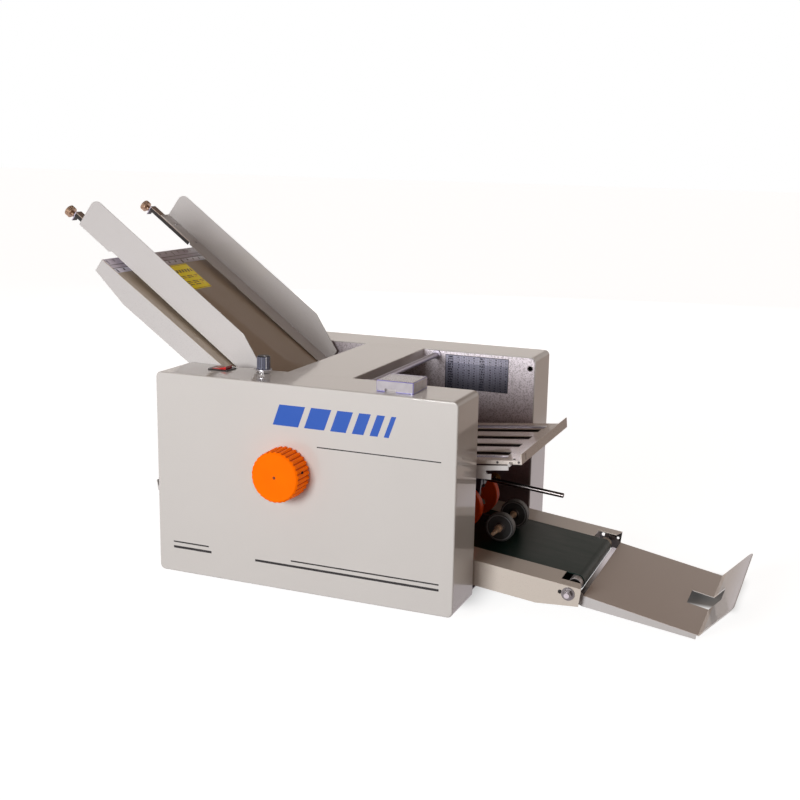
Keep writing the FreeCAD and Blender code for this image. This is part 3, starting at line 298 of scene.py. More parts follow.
def powder_coat(name, colour, roughness, grain, strength, speckle=0.0, coat=1.0, shine=0.5, fine=900.0):
    """Baked paint: a faint relief, a slow drift of tone and, on the trays, specks of a fineness."""
    paint = Paint(name, colour, roughness, Coat_Weight=coat, Coat_Roughness=0.06, Specular_IOR_Level=shine)
    drift, tone = baked(paint, colour)
    if speckle:
        tone = paint.mix(specks(paint, fine) * speckle, tone, darker(colour, 0.45))
    paint.set("Base Color", tone)
    paint.set("Roughness", drift * 0.08 + (roughness - 0.04))
    paint.bump(paint.noise(grain, 2.0), strength)
    return paint


def tray_coat(name):
    """The satin, finely speckled paint of the trays and guides."""
    return powder_coat(name, TRAY, 0.5, grain=700.0, strength=0.10, speckle=0.30, coat=0.7, shine=0.4)


def front_case_paint():
    """The casing paint with the plain lines and slanted bars that are printed on the front face."""
    paint = Paint("front_case_paint", CASE, 0.4, Coat_Weight=1.0, Coat_Roughness=0.06)
    x, y, z = paint.axes(at(0, 0, 0))
    front = y < 0.6 * MM
    ink = front * sum(x.inside(left * MM, right * MM) * z.inside(low * MM, high * MM)
                      for left, right, low, high in FRONT_LINES)
    lean = x - z * BAR_LEAN
    band = z.inside(*(edge * MM for edge in BAR_BAND))
    blue = front * band * sum(lean.inside(left * MM, (left + wide) * MM) for left, wide in FRONT_BARS)
    drift, tone = baked(paint, CASE)
    tone = paint.mix(blue, tone, srgb(0, 84, 190))
    tone = paint.mix(ink, tone, srgb(16, 14, 16))
    paint.set("Coat Weight", 1.0 - (blue + ink) * 0.9)
    paint.set("Base Color", tone)
    paint.set("Roughness", drift * 0.08 + 0.36)
    paint.bump(paint.noise(420.0, 2.0), 0.05)
    return paint


def zinc():
    """Zinc plate: a cool grey with a painted reflection, dark low down and bright higher up, with fine
    specks and slow clouds.
    """
    paint = Paint("zinc", srgb(150, 148, 158), 0.34, Metallic=0.5)
    x, _, z = paint.axes(at(0, 0, 0))
    cloud = paint.noise(9.0, 4.0, 0.6)
    grain = paint.noise(480.0, 3.0, 0.7)
    # Painted reflection: dark low down, bright higher up.
    reflection_gradient = (z + x * 0.35 + cloud * 0.05).soft(0.28, 0.50)
    tone = paint.mix(reflection_gradient, srgb(120, 108, 114), srgb(252, 246, 255))
    tone = paint.mix(grain.soft(0.46, 0.60) * 0.44, tone, srgb(104, 94, 100))
    paint.set("Base Color", tone)
    paint.set("Roughness", cloud * 0.2 + 0.24)
    paint.bump(grain, 0.25)
    return paint


def steel(name, colour, roughness, metallic=1.0, scratch=0.2):
    """Bare or plated metal, with long faint streaks that dull it."""
    paint = Paint(name, colour, roughness, Metallic=metallic)
    streak = paint.noise(300.0, 3.0, 0.6, (1.0, 0.08, 1.0))
    paint.set("Base Color", paint.mix(streak, darker(colour, 1 - scratch), colour))
    paint.set("Roughness", streak * 0.16 + (roughness - 0.06))
    return paint


def moulding(name, colour, roughness, grain=600.0, strength=0.06, **constants):
    """Moulded plastic or rubber, with a slight tone change and a fine skin."""
    paint = Paint(name, colour, roughness, **constants)
    drift = paint.noise(30.0, 3.0)
    paint.set("Base Color", paint.mix(drift, darker(colour, 0.85), colour))
    paint.set("Roughness", drift * 0.12 + (roughness - 0.05))
    paint.bump(paint.noise(grain, 2.0), strength)
    return paint


def end_roller():
    """The end roller: its near end, down in the rail's notch, painted black as shade with a painted
    highlight on its rim, and a bare brown far end.
    """
    paint = Paint("roller_metal", srgb(120, 104, 84), 0.35, Metallic=0.4)
    run, y, rise = paint.on(BELT)
    across = run - END_AXLE[0] * MM
    down = rise - END_AXLE[1] * MM
    radius = across.away(down)
    worn = paint.noise(240.0, 3.0)
    brown = paint.mix(worn, srgb(104, 90, 70), srgb(140, 122, 98))
    half_way = 250.0 * MM
    # Painted shade: the near end is black.
    tone = paint.mix(y > half_way, srgb(22, 20, 20), brown)
    # Painted highlight: a bright ring on the near end's rim.
    rim = (radius > 9.6 * MM) * (y < half_way)
    paint.set("Base Color", paint.mix(rim, tone, srgb(190, 186, 188)))
    paint.set("Roughness", worn * 0.15 + 0.28)
    return paint


def axle_steel():
    """The end roller's axle: washers and nuts of plain steel, the bar between them darker as painted shade.
    """
    paint = Paint("axle_steel", srgb(132, 128, 130), 0.34, Metallic=0.85)
    _, y, _ = paint.axes(at(0, 0, 0))
    # Painted shade: the bar between the rails is darker.
    between = y.inside(98.5 * MM, 399.5 * MM)
    streak = paint.noise(300.0, 3.0)
    tone = paint.mix(streak, srgb(108, 104, 106), srgb(146, 142, 144))
    paint.set("Base Color", paint.mix(between, tone, srgb(44, 40, 38)))
    paint.set("Roughness", streak * 0.16 + 0.26)
    return paint


def knob_plastic():
    """Bright orange plastic with a painted glow, and painted shade down in the knob's flutes."""
    # The emission is a painted glow: the knob is no lamp.
    paint = Paint("knob_plastic", srgb(255, 114, 0), 0.6, Specular_IOR_Level=0.05, Emission_Strength=0.22)
    x, y, z = paint.axes(at(KNOB_AXIS[0], KNOB_FRONT, KNOB_AXIS[1]))
    radius = x.away(z)
    # Painted shade down in the flutes.
    flute_shade = radius.soft(KNOB_RADIUS * MM, (KNOB_RADIUS - 0.7) * MM) * y.inside(3.2 * MM, 37.5 * MM)
    drift = paint.noise(30.0, 3.0)
    tone = paint.mix(drift, srgb(252, 106, 0), srgb(255, 117, 0))
    tone = paint.mix(flute_shade * 0.6, tone, srgb(140, 44, 2))
    paint.set("Base Color", tone)
    paint.set("Emission Color", tone)
    paint.set("Roughness", drift * 0.12 + 0.5)
    paint.bump(paint.noise(500.0, 2.0), 0.04)
    return paint


def belt_cloth():
    """Dark green conveyor belting with a fine crosswise weave and faint scuffs."""
    paint = Paint("belt_cloth", srgb(26, 40, 33), 0.36, Specular_IOR_Level=0.16)
    x, y, _ = paint.axes(at(0, 0, 0))
    thread = 5200.0
    weave = (x * thread).wave() * 0.5 + (y * thread).wave() * 0.5
    scuff = paint.noise(40.0, 4.0, 0.6, (0.4, 2.0, 1.0))
    tone = paint.mix(scuff, srgb(4, 32, 28), srgb(14, 46, 40))
    paint.set("Base Color", tone)
    paint.set("Roughness", scuff * 0.2 + 0.26)
    paint.bump(weave, 0.06)
    return paint


def wheel_tread():
    """Dark grey wheels: a worn pale tread with fine ribs, turned rings on the faces, a painted highlight
    ring near their rims and a dark hub.
    """
    paint = Paint("wheel_tread", srgb(70, 73, 76), 0.5, Specular_IOR_Level=0.4)
    x, _, z = paint.axes(at(PRESS_AXIS[0], 0, PRESS_AXIS[1]))
    radius = x.away(z)
    tread = radius > 22.9 * MM
    # Painted highlight: a pale ring near the rim of each face.
    rim = radius.inside(19.8 * MM, 21.6 * MM)
    hub = radius < 9.5 * MM
    ribs = (z.maths("ARCTAN2", x) * 90.0).wave()
    ring = (radius * 3400.0).wave()
    worn = paint.noise(160.0, 3.0, 0.6)
    tone = paint.mix(worn, srgb(40, 42, 44), srgb(70, 73, 76))
    tone = paint.mix(rim, tone, srgb(132, 136, 140))
    tone = paint.mix(hub, tone, srgb(38, 38, 40))
    tone = paint.mix(tread * (ribs * 0.25 + 0.75), tone, srgb(132, 136, 140))
    paint.set("Base Color", tone)
    paint.set("Roughness", worn * 0.2 + 0.36)
    paint.bump(ribs * tread + ring * 0.2, 0.35)
    return paint


def rail_paint():
    """The beige paint of the conveyor's rails, painted black as shade inside their ends where the end
    roller sits.
    """
    paint = Paint("rail_paint", RAIL, 0.45, Coat_Weight=1.0, Coat_Roughness=0.08)
    run, y, rise = paint.on(BELT)
    # Painted shade: the inner faces at the rails' ends are black.
    inside = (run > 247.5 * MM) * (rise < -1.4 * MM) * y.inside(99.2 * MM, 398.8 * MM)
    drift, tone = baked(paint, RAIL)
    tone = paint.mix(specks(paint) * 0.25, tone, darker(RAIL, 0.5))
    paint.set("Base Color", paint.mix(inside, tone, srgb(26, 20, 18)))
    paint.set("Roughness", drift * 0.08 + 0.4)
    paint.bump(paint.noise(700.0, 2.0), 0.08)
    return paint


def feed_paint():
    """The tray paint, with painted shade in a warmer, darker tone on the sheet that the paper lies on."""
    paint = tray_coat("feed_paint")
    _, _, rise = paint.on(TRAY_TOP)
    # Painted shade: a warmer, darker tone on the top sheet.
    top = rise > -0.4 * MM
    paint.set("Base Color", paint.mix(top * 0.85, paint.fed("Base Color"), srgb(198, 182, 158)))
    return paint


def output_paint():
    """The tray paint, with painted shade: a warmer, darker tone on top, and near black inside the arm that
    holds the axle's far end.
    """
    paint = tray_coat("output_paint")
    run, y, rise = paint.on(OUTPUT)
    arm_end = -7.0 * MM
    # Painted shade: near black inside the far arm, and a warmer, darker tone on the top.
    arm = (run < arm_end) * y.inside(350.0 * MM, 384.8 * MM)
    top = (rise > -0.4 * MM) * run.inside(arm_end, 176.5 * MM)
    tone = paint.mix(top * 0.7, paint.fed("Base Color"), srgb(204, 190, 178))
    paint.set("Base Color", paint.mix(arm, tone, srgb(62, 52, 48)))
    return paint


def shaded_channel():
    """A channel painted black as shade, with bare metal along its top painted light as a highlight, and a
    bright lug at its upper end.
    """
    paint = Paint("shaded_channel", srgb(30, 26, 24), 0.4)
    run, _, rise = paint.on(GUIDE)
    # Painted highlight along the top, on bare metal. The rest is black as painted shade.
    bare = rise > -1.3 * MM
    lug = run < -26.2 * MM
    worn = paint.noise(240.0, 3.0)
    tone = paint.mix(bare, srgb(30, 26, 24), srgb(176, 160, 148))
    paint.set("Base Color", paint.mix(lug, tone, srgb(196, 190, 208)))
    paint.set("Metallic", bare.maths("MAXIMUM", lug) * 0.8)
    paint.set("Roughness", worn * 0.2 + 0.25)
    return paint


def ruled_strip(name, back, ink, step, wide, depth, slope, start, reach, far=False):
    """A pale strip with printed marks at an even step, every fifth one longer.

    The marks run along the width, or down the run where far is set. They start at one long edge, take up
    the share wide of each step, and reach the share depth of the strip's width.
    """
    paint = Paint(name, back, 0.35, Coat_Weight=0.5, Coat_Roughness=0.1)
    run, y, _ = paint.on(slope)
    along, across = (run, y) if far else (y, run)
    line = (along * (1 / (step * MM))).part() < wide
    long_line = (along * (0.2 / (step * MM))).part() < wide * 0.2
    edge = (across - start * MM) * (1 / (reach * MM))
    marks = (line * edge.inside(0.0, depth)).maths("MAXIMUM", long_line * edge.inside(0.0, depth * 1.8))
    worn = paint.noise(120.0, 4.0, 0.6)
    tone = paint.mix(worn, darker(back, 0.82), back)
    paint.set("Base Color", paint.mix(marks, tone, ink))
    paint.set("Roughness", worn * 0.15 + 0.28)
    return paint


# The label's rows of dashes: the run at the top of each, and its left and right end across the tray.
LABEL_ROWS = ((70.5, 200, 303), (74.5, 200, 296), (85, 200, 304), (89, 200, 300), (94, 210, 292))


def yellow_label():
    """A yellow paper label printed with plain black bars and rows of short dashes."""
    # The emission is a painted glow: the label is no lamp.
    paint = Paint("yellow_label", srgb(255, 226, 0), 0.45, Emission_Strength=0.16)
    run, y, _ = paint.on(TRAY_TOP)
    lean = y + run * 0.25
    band = run.inside(53.5 * MM, 61.5 * MM) * y.inside(215.0 * MM, 300.0 * MM)
    bold = (lean * 110.0).part().inside(0.2, 0.72) * band
    dash = paint.noise(1.0, 0.0, 0.5, (4.0, 420.0, 4.0)) > 0.42
    rows = sum(run.inside(low * MM, (low + 2.0) * MM) * y.inside(left * MM, right * MM)
               for low, left, right in LABEL_ROWS)
    border = run.inside(41.5 * MM, 42.4 * MM) + run.inside(104.5 * MM, 105.4 * MM)
    ink = bold.maths("MAXIMUM", rows * dash).maths("MAXIMUM", border)
    fade = paint.noise(40.0, 3.0)
    tone = paint.mix(fade, srgb(252, 220, 0), srgb(255, 232, 8))
    printed = paint.mix(ink, tone, srgb(22, 18, 10))
    paint.set("Base Color", printed)
    paint.set("Emission Color", printed)
    paint.set("Roughness", fade * 0.15 + 0.36)
    return paint


# The chart's left and right end, its low and high end, and its printed rim.
CHART = ((345, 463.5), (264, 325.5))
RIM = 0.9 * MM


def chart_print():
    """A metal chart with ruled rows and columns, a paler head, small marks in its cells, and painted shade
    that darkens it towards its foot.
    """
    paint = Paint("chart_print", srgb(120, 122, 140), 0.5, Specular_IOR_Level=0.3)
    x, _, z = paint.axes(at(CHART[0][0], 0, CHART[1][0]))
    wide, tall = ((high - low) * MM for low, high in CHART)
    half_wide = 59.5
    row = (z * (1 / (4.6 * MM))).part()
    half = (x * (1 / (half_wide * MM))).part() * half_wide
    head = z > 47.5 * MM
    first = half < 20.0
    narrow = ((half - 20.0) * (1 / 9.9)).part()
    ruled = (row < 0.12).maths("MAXIMUM", (narrow < 0.07) * (half > 19.0)).maths("MAXIMUM", half < 0.7)
    rough = paint.noise(1.0, 0.0, 0.5, (700.0, 4.0, 330.0))
    small = (rough > 0.44) * row.inside(0.34, 0.80) * narrow.inside(0.28, 0.72)
    large = (rough > 0.40) * row.inside(0.24, 0.90) * half.inside(5.0, 15.0)
    marks = paint.node("ShaderNodeMix", None, {FACTOR: first, NUMBER_A: small, NUMBER_B: large})
    ends = (x < RIM).maths("MAXIMUM", x > wide - RIM)
    rim = ends.maths("MAXIMUM", z < RIM).maths("MAXIMUM", z > tall - RIM)
    # Painted shade: the chart darkens towards its foot.
    tone = paint.mix(z.soft(0.0, 0.062), srgb(84, 86, 98), srgb(158, 160, 184))
    tone = paint.mix(head * 0.45, tone, srgb(206, 206, 228))
    ink = (ruled * 0.45).maths("MAXIMUM", marks * 0.9).maths("MAXIMUM", rim)
    paint.set("Base Color", paint.mix(ink, tone, srgb(28, 30, 48)))
    paint.set("Roughness", rough * 0.1 + 0.45)
    return paint


def clear_lid():
    """Clear acrylic, slightly clouded, with a painted violet highlight along its edges."""
    paint = Paint("clear_lid", srgb(232, 230, 240), 0.12, Coat_Weight=1.0, Coat_Roughness=0.03)
    x, y, z = paint.axes(at(405, 47.5, 332.4))
    level = (z < 1.5 * MM).maths("MAXIMUM", z > 16.1 * MM)
    sides = (x.size() > 28.5 * MM) + (y.size() > 28.0 * MM) + level
    # Painted highlight: the edges are violet.
    edge = sides > 1.5
    haze = paint.noise(90.0, 3.0)
    tone = paint.mix(haze, srgb(214, 212, 224), srgb(236, 234, 242))
    paint.set("Base Color", paint.mix(edge, tone, srgb(160, 156, 226)))
    paint.set("Roughness", haze * 0.1 + 0.08)
    paint.set("Alpha", (haze * 0.12 + 0.42).maths("MAXIMUM", edge * 0.9))
    return paint


def speed_knob_paint():
    """A ribbed cap of dark blue-grey on a bright metal skirt, with painted highlights on its ridges and
    painted shade in the flutes between them.
    """
    paint = Paint("speed_knob_paint", srgb(44, 46, 60), 0.35)
    x, y, z = paint.axes(at(*SPEED_AXIS, CASE_TOP))
    skirt = z < 7.6 * MM
    # Painted highlight on the ridges, painted shade in the flutes between them.
    lit_ridge = x.away(y) > 10.35 * MM
    worn = paint.noise(60.0, 3.0)
    tone = paint.mix(lit_ridge, srgb(24, 25, 34), paint.mix(worn, srgb(74, 78, 98), srgb(104, 108, 128)))
    paint.set("Base Color", paint.mix(skirt, tone, srgb(192, 192, 200)))
    paint.set("Metallic", skirt * 0.95)
    paint.set("Roughness", worn * 0.1 + 0.24)
    return paint


def transfer_steel():
    """A bare strip with a painted reflection, dark at its near end and bright at its far end, and a painted
    glow towards the far end.
    """
    paint = Paint("transfer_steel", srgb(150, 146, 150), 0.3, Metallic=0.5, Coat_Weight=1.0,
                  Coat_Roughness=0.15, Emission_Strength=0.36)
    _, y, _ = paint.axes(at(0, 150, 0))
    streak = paint.noise(300.0, 3.0, 0.6, (1.0, 0.08, 1.0))
    # Painted reflection: dark at the near end, bright at the far end. A painted glow grows towards the far
    # end.
    bright = y.soft(0.0, 150.0 * MM)
    painted_glow = y.soft(30.0 * MM, 170.0 * MM)
    paint.set("Base Color", paint.mix(bright, srgb(58, 52, 54), srgb(255, 252, 255)))
    paint.set("Emission Color", paint.mix(painted_glow, (0.0, 0.0, 0.0), srgb(246, 240, 252)))
    paint.set("Roughness", streak * 0.16 + 0.22)
    return paint


PAINTS = {
    "case_paint": powder_coat("case_paint", CASE, 0.4, grain=420.0, strength=0.05),
    "front_case_paint": front_case_paint(),
    "tray_paint": tray_coat("tray_paint"),
    "fold_paint": powder_coat("fold_paint", srgb(236, 229, 223), 0.5, grain=700.0, strength=0.10,
                              speckle=0.75, coat=0.5, shine=0.4, fine=420.0),
    "shaded_paint": powder_coat("shaded_paint", srgb(52, 45, 42), 0.6, grain=700.0, strength=0.10,
                                coat=0.2, shine=0.3),
    "rail_paint": rail_paint(),
    "feed_paint": feed_paint(),
    "output_paint": output_paint(),
    "zinc_plate": zinc(),
    "bright_steel": steel("bright_steel", srgb(170, 168, 170), 0.28),
    "chrome_rod": steel("chrome_rod", srgb(112, 108, 108), 0.22, scratch=0.05),
    "tube_plate": steel("tube_plate", srgb(196, 192, 206), 0.38, metallic=0.8, scratch=0.1),
    "brass_shaft": steel("brass_shaft", srgb(226, 198, 170), 0.36, metallic=0.4),
    "nickel_knurl": steel("nickel_knurl", srgb(186, 158, 136), 0.3),
    "bearing_bronze": steel("bearing_bronze", srgb(170, 130, 80), 0.4),
    "black_rubber": moulding("black_rubber", srgb(26, 26, 27), 0.7),
    "wheel_rubber": wheel_tread(),
    "roller_rubber": moulding("roller_rubber", srgb(58, 58, 60), 0.55),
    "roller_metal": end_roller(),
    "axle_steel": axle_steel(),
    "belt_green": belt_cloth(),
    "drive_belt": moulding("drive_belt", srgb(30, 30, 30), 0.7),
    "orange_plastic": moulding("orange_plastic", srgb(255, 108, 0), 0.55, grain=500.0, strength=0.04,
                               Specular_IOR_Level=0.1),
    "knob_plastic": knob_plastic(),
    "orange_disc": moulding("orange_disc", srgb(252, 84, 12), 0.45, Specular_IOR_Level=0.25),
    "switch_black": moulding("switch_black", srgb(22, 20, 20), 0.3),
    "rocker_red": moulding("rocker_red", srgb(214, 24, 26), 0.2, Coat_Weight=0.6),
    "knob_grey": moulding("knob_grey", srgb(44, 46, 60), 0.35),
    "clear_lid": clear_lid(),
    "speed_knob_paint": speed_knob_paint(),
    "transfer_steel": transfer_steel(),
    "worn_steel": steel("worn_steel", srgb(132, 128, 130), 0.36),
    "dark_steel": steel("dark_steel", srgb(96, 92, 94), 0.34),
    "bright_end": steel("bright_end", srgb(224, 220, 226), 0.22),
    "orange_dark": moulding("orange_dark", srgb(186, 66, 8), 0.45),
    "counter_grey": moulding("counter_grey", srgb(206, 202, 204), 0.4),
    "board_green": moulding("board_green", srgb(24, 84, 52), 0.5),
    "motor_black": moulding("motor_black", srgb(34, 34, 38), 0.4),
    "inlet_black": moulding("inlet_black", srgb(24, 24, 24), 0.5),
    "shaded_channel": shaded_channel(),
    "ruler_back": ruled_strip("ruler_back", srgb(222, 214, 230), srgb(96, 90, 104), step=20.0, wide=0.1,
                              depth=0.24, slope=TRAY_TOP, start=4.0, reach=24.0),
    "ruler_front": ruled_strip("ruler_front", srgb(238, 236, 252), srgb(46, 44, 56), step=20.0, wide=0.2,
                               depth=0.42, slope=TRAY_TOP, start=28.5, reach=11.0),
    "scale_near": ruled_strip("scale_near", srgb(206, 204, 216), srgb(74, 88, 168), step=2.5, wide=0.4,
                              depth=0.5, slope=FOLD, start=131.0, reach=15.0, far=True),
    "scale_rear": ruled_strip("scale_rear", srgb(170, 168, 186), srgb(74, 88, 168), step=2.5, wide=0.4,
                              depth=0.5, slope=FOLD, start=346.0, reach=20.0, far=True),
    "yellow_label": yellow_label(),
    "chart_print": chart_print(),
    "white_mark": moulding("white_mark", srgb(226, 228, 236), 0.4),
    "dark_hole": moulding("dark_hole", srgb(20, 16, 16), 0.7),
}


# ---------------------------------------------------------------- dressed copies of the solids

def alone(piece):
    """Deselect everything, then select and activate one piece."""
    bpy.ops.object.select_all(action="DESELECT")
    piece.select_set(True)
    bpy.context.view_layer.objects.active = piece


def wear(piece, slot, paint=None):
    """Give a piece its finish: the paint of its slot, or another paint where one is named."""
    piece.data.materials.clear()
    piece.data.materials.append(PAINTS[paint or slot].material)


def soften(piece, width, angle):
    """Round the edges of a piece that are sharper than an angle, then smooth its round faces."""
    if width:
        bevel = piece.modifiers.new("edges", "BEVEL")
        bevel.width = width * MM
        bevel.segments = 2
        bevel.limit_method = "ANGLE"
        bevel.angle_limit = math.radians(angle)
        bpy.ops.object.modifier_apply(modifier="edges")
    bpy.ops.object.shade_smooth_by_angle(angle=math.radians(35))


def dressed(node, slot, width, paint=None):
    """A copy of a solid with merged corners, softened edges and smooth round faces."""
    solid = frame["nodes"][node]
    piece = solid.copy()
    piece.data = solid.data.copy()
    piece.name = node + "_skin"
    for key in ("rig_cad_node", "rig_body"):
        if key in piece:
            del piece[key]
    piece.parent = None
    bpy.context.scene.collection.objects.link(piece)
    alone(piece)
    bpy.ops.object.mode_set(mode="EDIT")
    bpy.ops.mesh.select_all(action="SELECT")
    bpy.ops.mesh.remove_doubles(threshold=1e-6)
    bpy.ops.mesh.dissolve_limited(angle_limit=math.radians(0.5))
    bpy.ops.object.mode_set(mode="OBJECT")
    soften(piece, width, 40)
    piece.modifiers.new("level", "WEIGHTED_NORMAL").keep_sharp = True
    bpy.ops.object.modifier_apply(modifier="level")
    wear(piece, slot, paint)
    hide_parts(node)
    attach(piece, solid["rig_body"])


slots = {entry["node"]: entry["material_slot"] for entry in frame["record"]["subparts"]}

# Solids inside the casings keep their sharp edges. The others get an edge radius in millimetres, and
# some a finish that's richer than their slot's.
SHARP = {"drive_belts", "motor_bracket", "control_board", "motor", "motor_pinion"}
USUAL_EDGE = 0.3
EDGE_WIDTH = {"front_housing": 0.35, "rear_housing": 0.35, "output_tray": 0.35, "hand_knob": 0.5,
              "press_wheels": 0.4, "delivery_discs": 0.4, "transfer_strip": 0.1}
OWN_FINISH = {"front_housing": "front_case_paint", "conveyor_frame": "rail_paint",
              "front_clamp_bar": "shaded_channel", "rear_clamp_bar": "shaded_channel",
              "upper_fold_plate": "fold_paint", "output_tray": "output_paint",
              "feed_tray": "feed_paint", "upper_fold_plate_base": "shaded_paint",
              "hand_knob": "knob_plastic", "idler_axle": "axle_steel", "cross_tube": "tube_plate",
              "belt_idler_roller": "roller_metal", "speed_knob": "speed_knob_paint",
              "transfer_strip": "transfer_steel"}
for node, slot in sorted(slots.items()):
    if node in SHARP:
        wear(frame["nodes"][node], slot)
        continue
    dressed(node, slot, EDGE_WIDTH.get(node, USUAL_EDGE), OWN_FINISH.get(node))


# ---------------------------------------------------------------- small pieces, modelled one by one

TO_FRONT = (0, -1, 0)
TO_REAR = (0, 1, 0)
TO_LEFT = (-1, 0, 0)
UPWARDS = (0, 0, 1)


def settle(piece, name, carrier, slot, paint=None, soft=0.0, moves=()):
    """Bake a new piece's place into its mesh, soften it, copy it where it repeats, and let it ride."""
    piece.name = name
    alone(piece)
    bpy.ops.object.transform_apply(location=True, rotation=True, scale=True)
    soften(piece, soft, 30)
    family = [piece]
    for number, move in enumerate(moves, 2):
        twin = piece.copy()
        twin.data = piece.data.copy()
        twin.name = name + "_" + str(number)
        bpy.context.scene.collection.objects.link(twin)
        alone(twin)
        bpy.ops.transform.translate(value=Vector(move) * MM)
        bpy.ops.object.transform_apply(location=True, rotation=False, scale=False)
        family.append(twin)
    for member in family:
        wear(member, slot, paint)
        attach(member, frame["nodes"][carrier]["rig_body"])


def block(name, carrier, slope, run, y, rise, slot, paint=None, soft=0.1, moves=(), turn=0.0, centre=None):
    """A block between two limits each along the run, across and off the sheet, turned about a centre."""
    limits = (run, y, rise)
    bpy.ops.object.select_all(action="DESELECT")
    bpy.ops.mesh.primitive_cube_add(size=1, location=slope.spot(*(sum(pair) / 2 for pair in limits)),
                                    rotation=(0, slope.angle, 0))
    piece = bpy.context.object
    piece.scale = [(high - low) * MM for low, high in limits]
    if turn:
        alone(piece)
        bpy.ops.transform.rotate(value=turn, orient_axis="Z", center_override=centre)
    settle(piece, name, carrier, slot, paint, soft, moves)


def turned(name, carrier, place, towards, steps, slot, paint=None, sides=40, moves=()):
    """A turned piece: a disc, or a ring where the steps close, drawn out through (radius, level) steps."""
    closed = steps[0] == steps[-1]
    bpy.ops.object.select_all(action="DESELECT")
    bpy.ops.mesh.primitive_circle_add(vertices=sides, radius=steps[0][0] * MM,
                                      location=(0, 0, steps[0][1] * MM),
                                      fill_type="NOTHING" if closed else "NGON")
    piece = bpy.context.object
    bpy.ops.object.mode_set(mode="EDIT")
    bpy.ops.mesh.select_all(action="SELECT")
    radius, level = steps[0]
    for wider, further in steps[1:]:
        bpy.ops.mesh.extrude_region_move(TRANSFORM_OT_translate={"value": (0, 0, (further - level) * MM)})
        bpy.ops.transform.resize(value=(wider / radius, wider / radius, 1),
                                 center_override=(0, 0, further * MM))
        radius, level = wider, further
    bpy.ops.mesh.select_all(action="SELECT")
    if closed:
        bpy.ops.mesh.remove_doubles(threshold=1e-6)
    bpy.ops.mesh.normals_make_consistent(inside=False)
    bpy.ops.object.mode_set(mode="OBJECT")
    alone(piece)
    bpy.ops.object.transform_apply(location=True, rotation=True, scale=True)
    piece.matrix_world = (Matrix.Translation(place)
                          @ Vector(towards).to_track_quat("Z", "Y").to_matrix().to_4x4())
    settle(piece, name, carrier, slot, paint, moves=moves)


def screw(name, carrier, place, towards, radius, high, slot="bright_steel", paint=None, moves=()):
    """A pan-head screw with its driver recess."""
    steps = [(radius, 0.0), (radius, high * 0.45), (radius * 0.86, high * 0.85), (radius * 0.6, high),
             (radius * 0.34, high), (radius * 0.26, high * 0.35)]
    turned(name, carrier, place, towards, steps, slot, paint, sides=24, moves=moves)


def tray_prints():
    """The two ruled strips, the groove and the line between them, and the label on the feed tray."""
    across = (96.5, 403)
    block("ruler_strip_back", "feed_tray", TRAY_TOP, (0.9, 25), across, (0.0, 0.25), "zinc_plate",
          paint="ruler_back", soft=0.08)
    block("ruler_groove", "feed_tray", TRAY_TOP, (25, 26.2), across, (0.0, 0.15), "black_rubber", soft=0.04)
    block("ruler_step", "feed_tray", TRAY_TOP, (16.6, 17.6), across, (0.25, 0.4), "black_rubber",
          paint="dark_steel", soft=0.04)
    block("ruler_strip_front", "feed_tray", TRAY_TOP, (26.2, 37.6), across, (0.0, 0.25), "tray_paint",
          paint="ruler_front", soft=0.08)
    block("feed_label", "feed_tray", TRAY_TOP, (40, 107), (166, 304), (0.0, 0.15), "orange_plastic",
          paint="yellow_label", soft=0.05)


def guide_details():
    """Rivets on the guides' flanges, and a ring around each thumbscrew's stud."""
    dome = [(3.0, 0.0), (2.9, 0.5), (2.3, 1.1), (1.2, 1.5)]
    for guide, y in (("front_paper_guide", 147.5), ("rear_paper_guide", 383.0)):
        turned(guide.replace("paper_guide", "rivet"), guide, GUIDE.spot(30, y, 1.5), GUIDE.up(), dome,
               "bright_steel", sides=20, moves=[GUIDE.move(54)])
    ring = [(2.7, -0.5), (4.4, -0.5), (4.4, 0.8), (3.8, 1.1), (2.7, 1.1), (2.7, -0.5)]
    for bar, y in (("front_clamp_bar", 147.5), ("rear_clamp_bar", 377.0)):
        turned(bar.replace("bar", "stud_ring"), bar, GUIDE.spot(-28.0, y, -10), (-1, 0, 0.74), ring,
               "bright_steel", sides=24)


def plate_details():
    """The chart on the rear side plate, the eyelet of its hole and the collars of the cross tube."""
    plate = 405.0
    block("chart_plate", "rear_side_plate", LEVEL, CHART[0], (plate - 0.45, plate), CHART[1], "zinc_plate",
          paint="chart_print", soft=0.1)
    eyelet = [(4.0, 0.0), (5.4, 0.0), (5.2, 0.4), (4.3, 0.5), (4.0, 0.3), (4.0, 0.0)]
    turned("eyelet", "rear_side_plate", at(503, plate, 312.5), TO_FRONT, eyelet, "bright_steel",
           paint="worn_steel", sides=32)
    collar = [(5.05, 0.0), (8.0, 0.0), (8.0, 3.5), (7.4, 4.0), (5.05, 4.0), (5.05, 0.0)]
    turned("tube_collar", "cross_tube", at(328, 95, 323.5), TO_REAR, collar, "bright_steel",
           paint="tube_plate", sides=36, moves=[(0, 306, 0)])


def fold_details():
    """The fold plate's printed scales, its corner screw, the screws of its stop and a mark on its lip."""
    slots_run = (64, 262)
    block("fold_scale_near", "upper_fold_plate", FOLD, slots_run, (130, 147), (0.0, 0.12), "tray_paint",
          paint="scale_near", soft=0.04)
    block("fold_scale_rear", "upper_fold_plate", FOLD, slots_run, (345, 368), (0.0, 0.12), "tray_paint",
          paint="scale_rear", soft=0.04)
    screw("fold_screw", "upper_fold_plate", FOLD.spot(276.9, 121.0, 0.0), FOLD.up(), 1.9, 0.9,
          "black_rubber")
    screw("stop_screw", "upper_fold_plate", FOLD.spot(252.2, 112.0, -2.9), TO_FRONT, 2.0, 1.0,
          paint="dark_steel", moves=[(34.0, 0, 3.7)])
    block("lip_mark", "upper_fold_plate", FOLD, (291.0, 291.15), (134, 135.6), (-3.0, 7.0), "black_rubber",
          paint="dark_hole", soft=0.0)


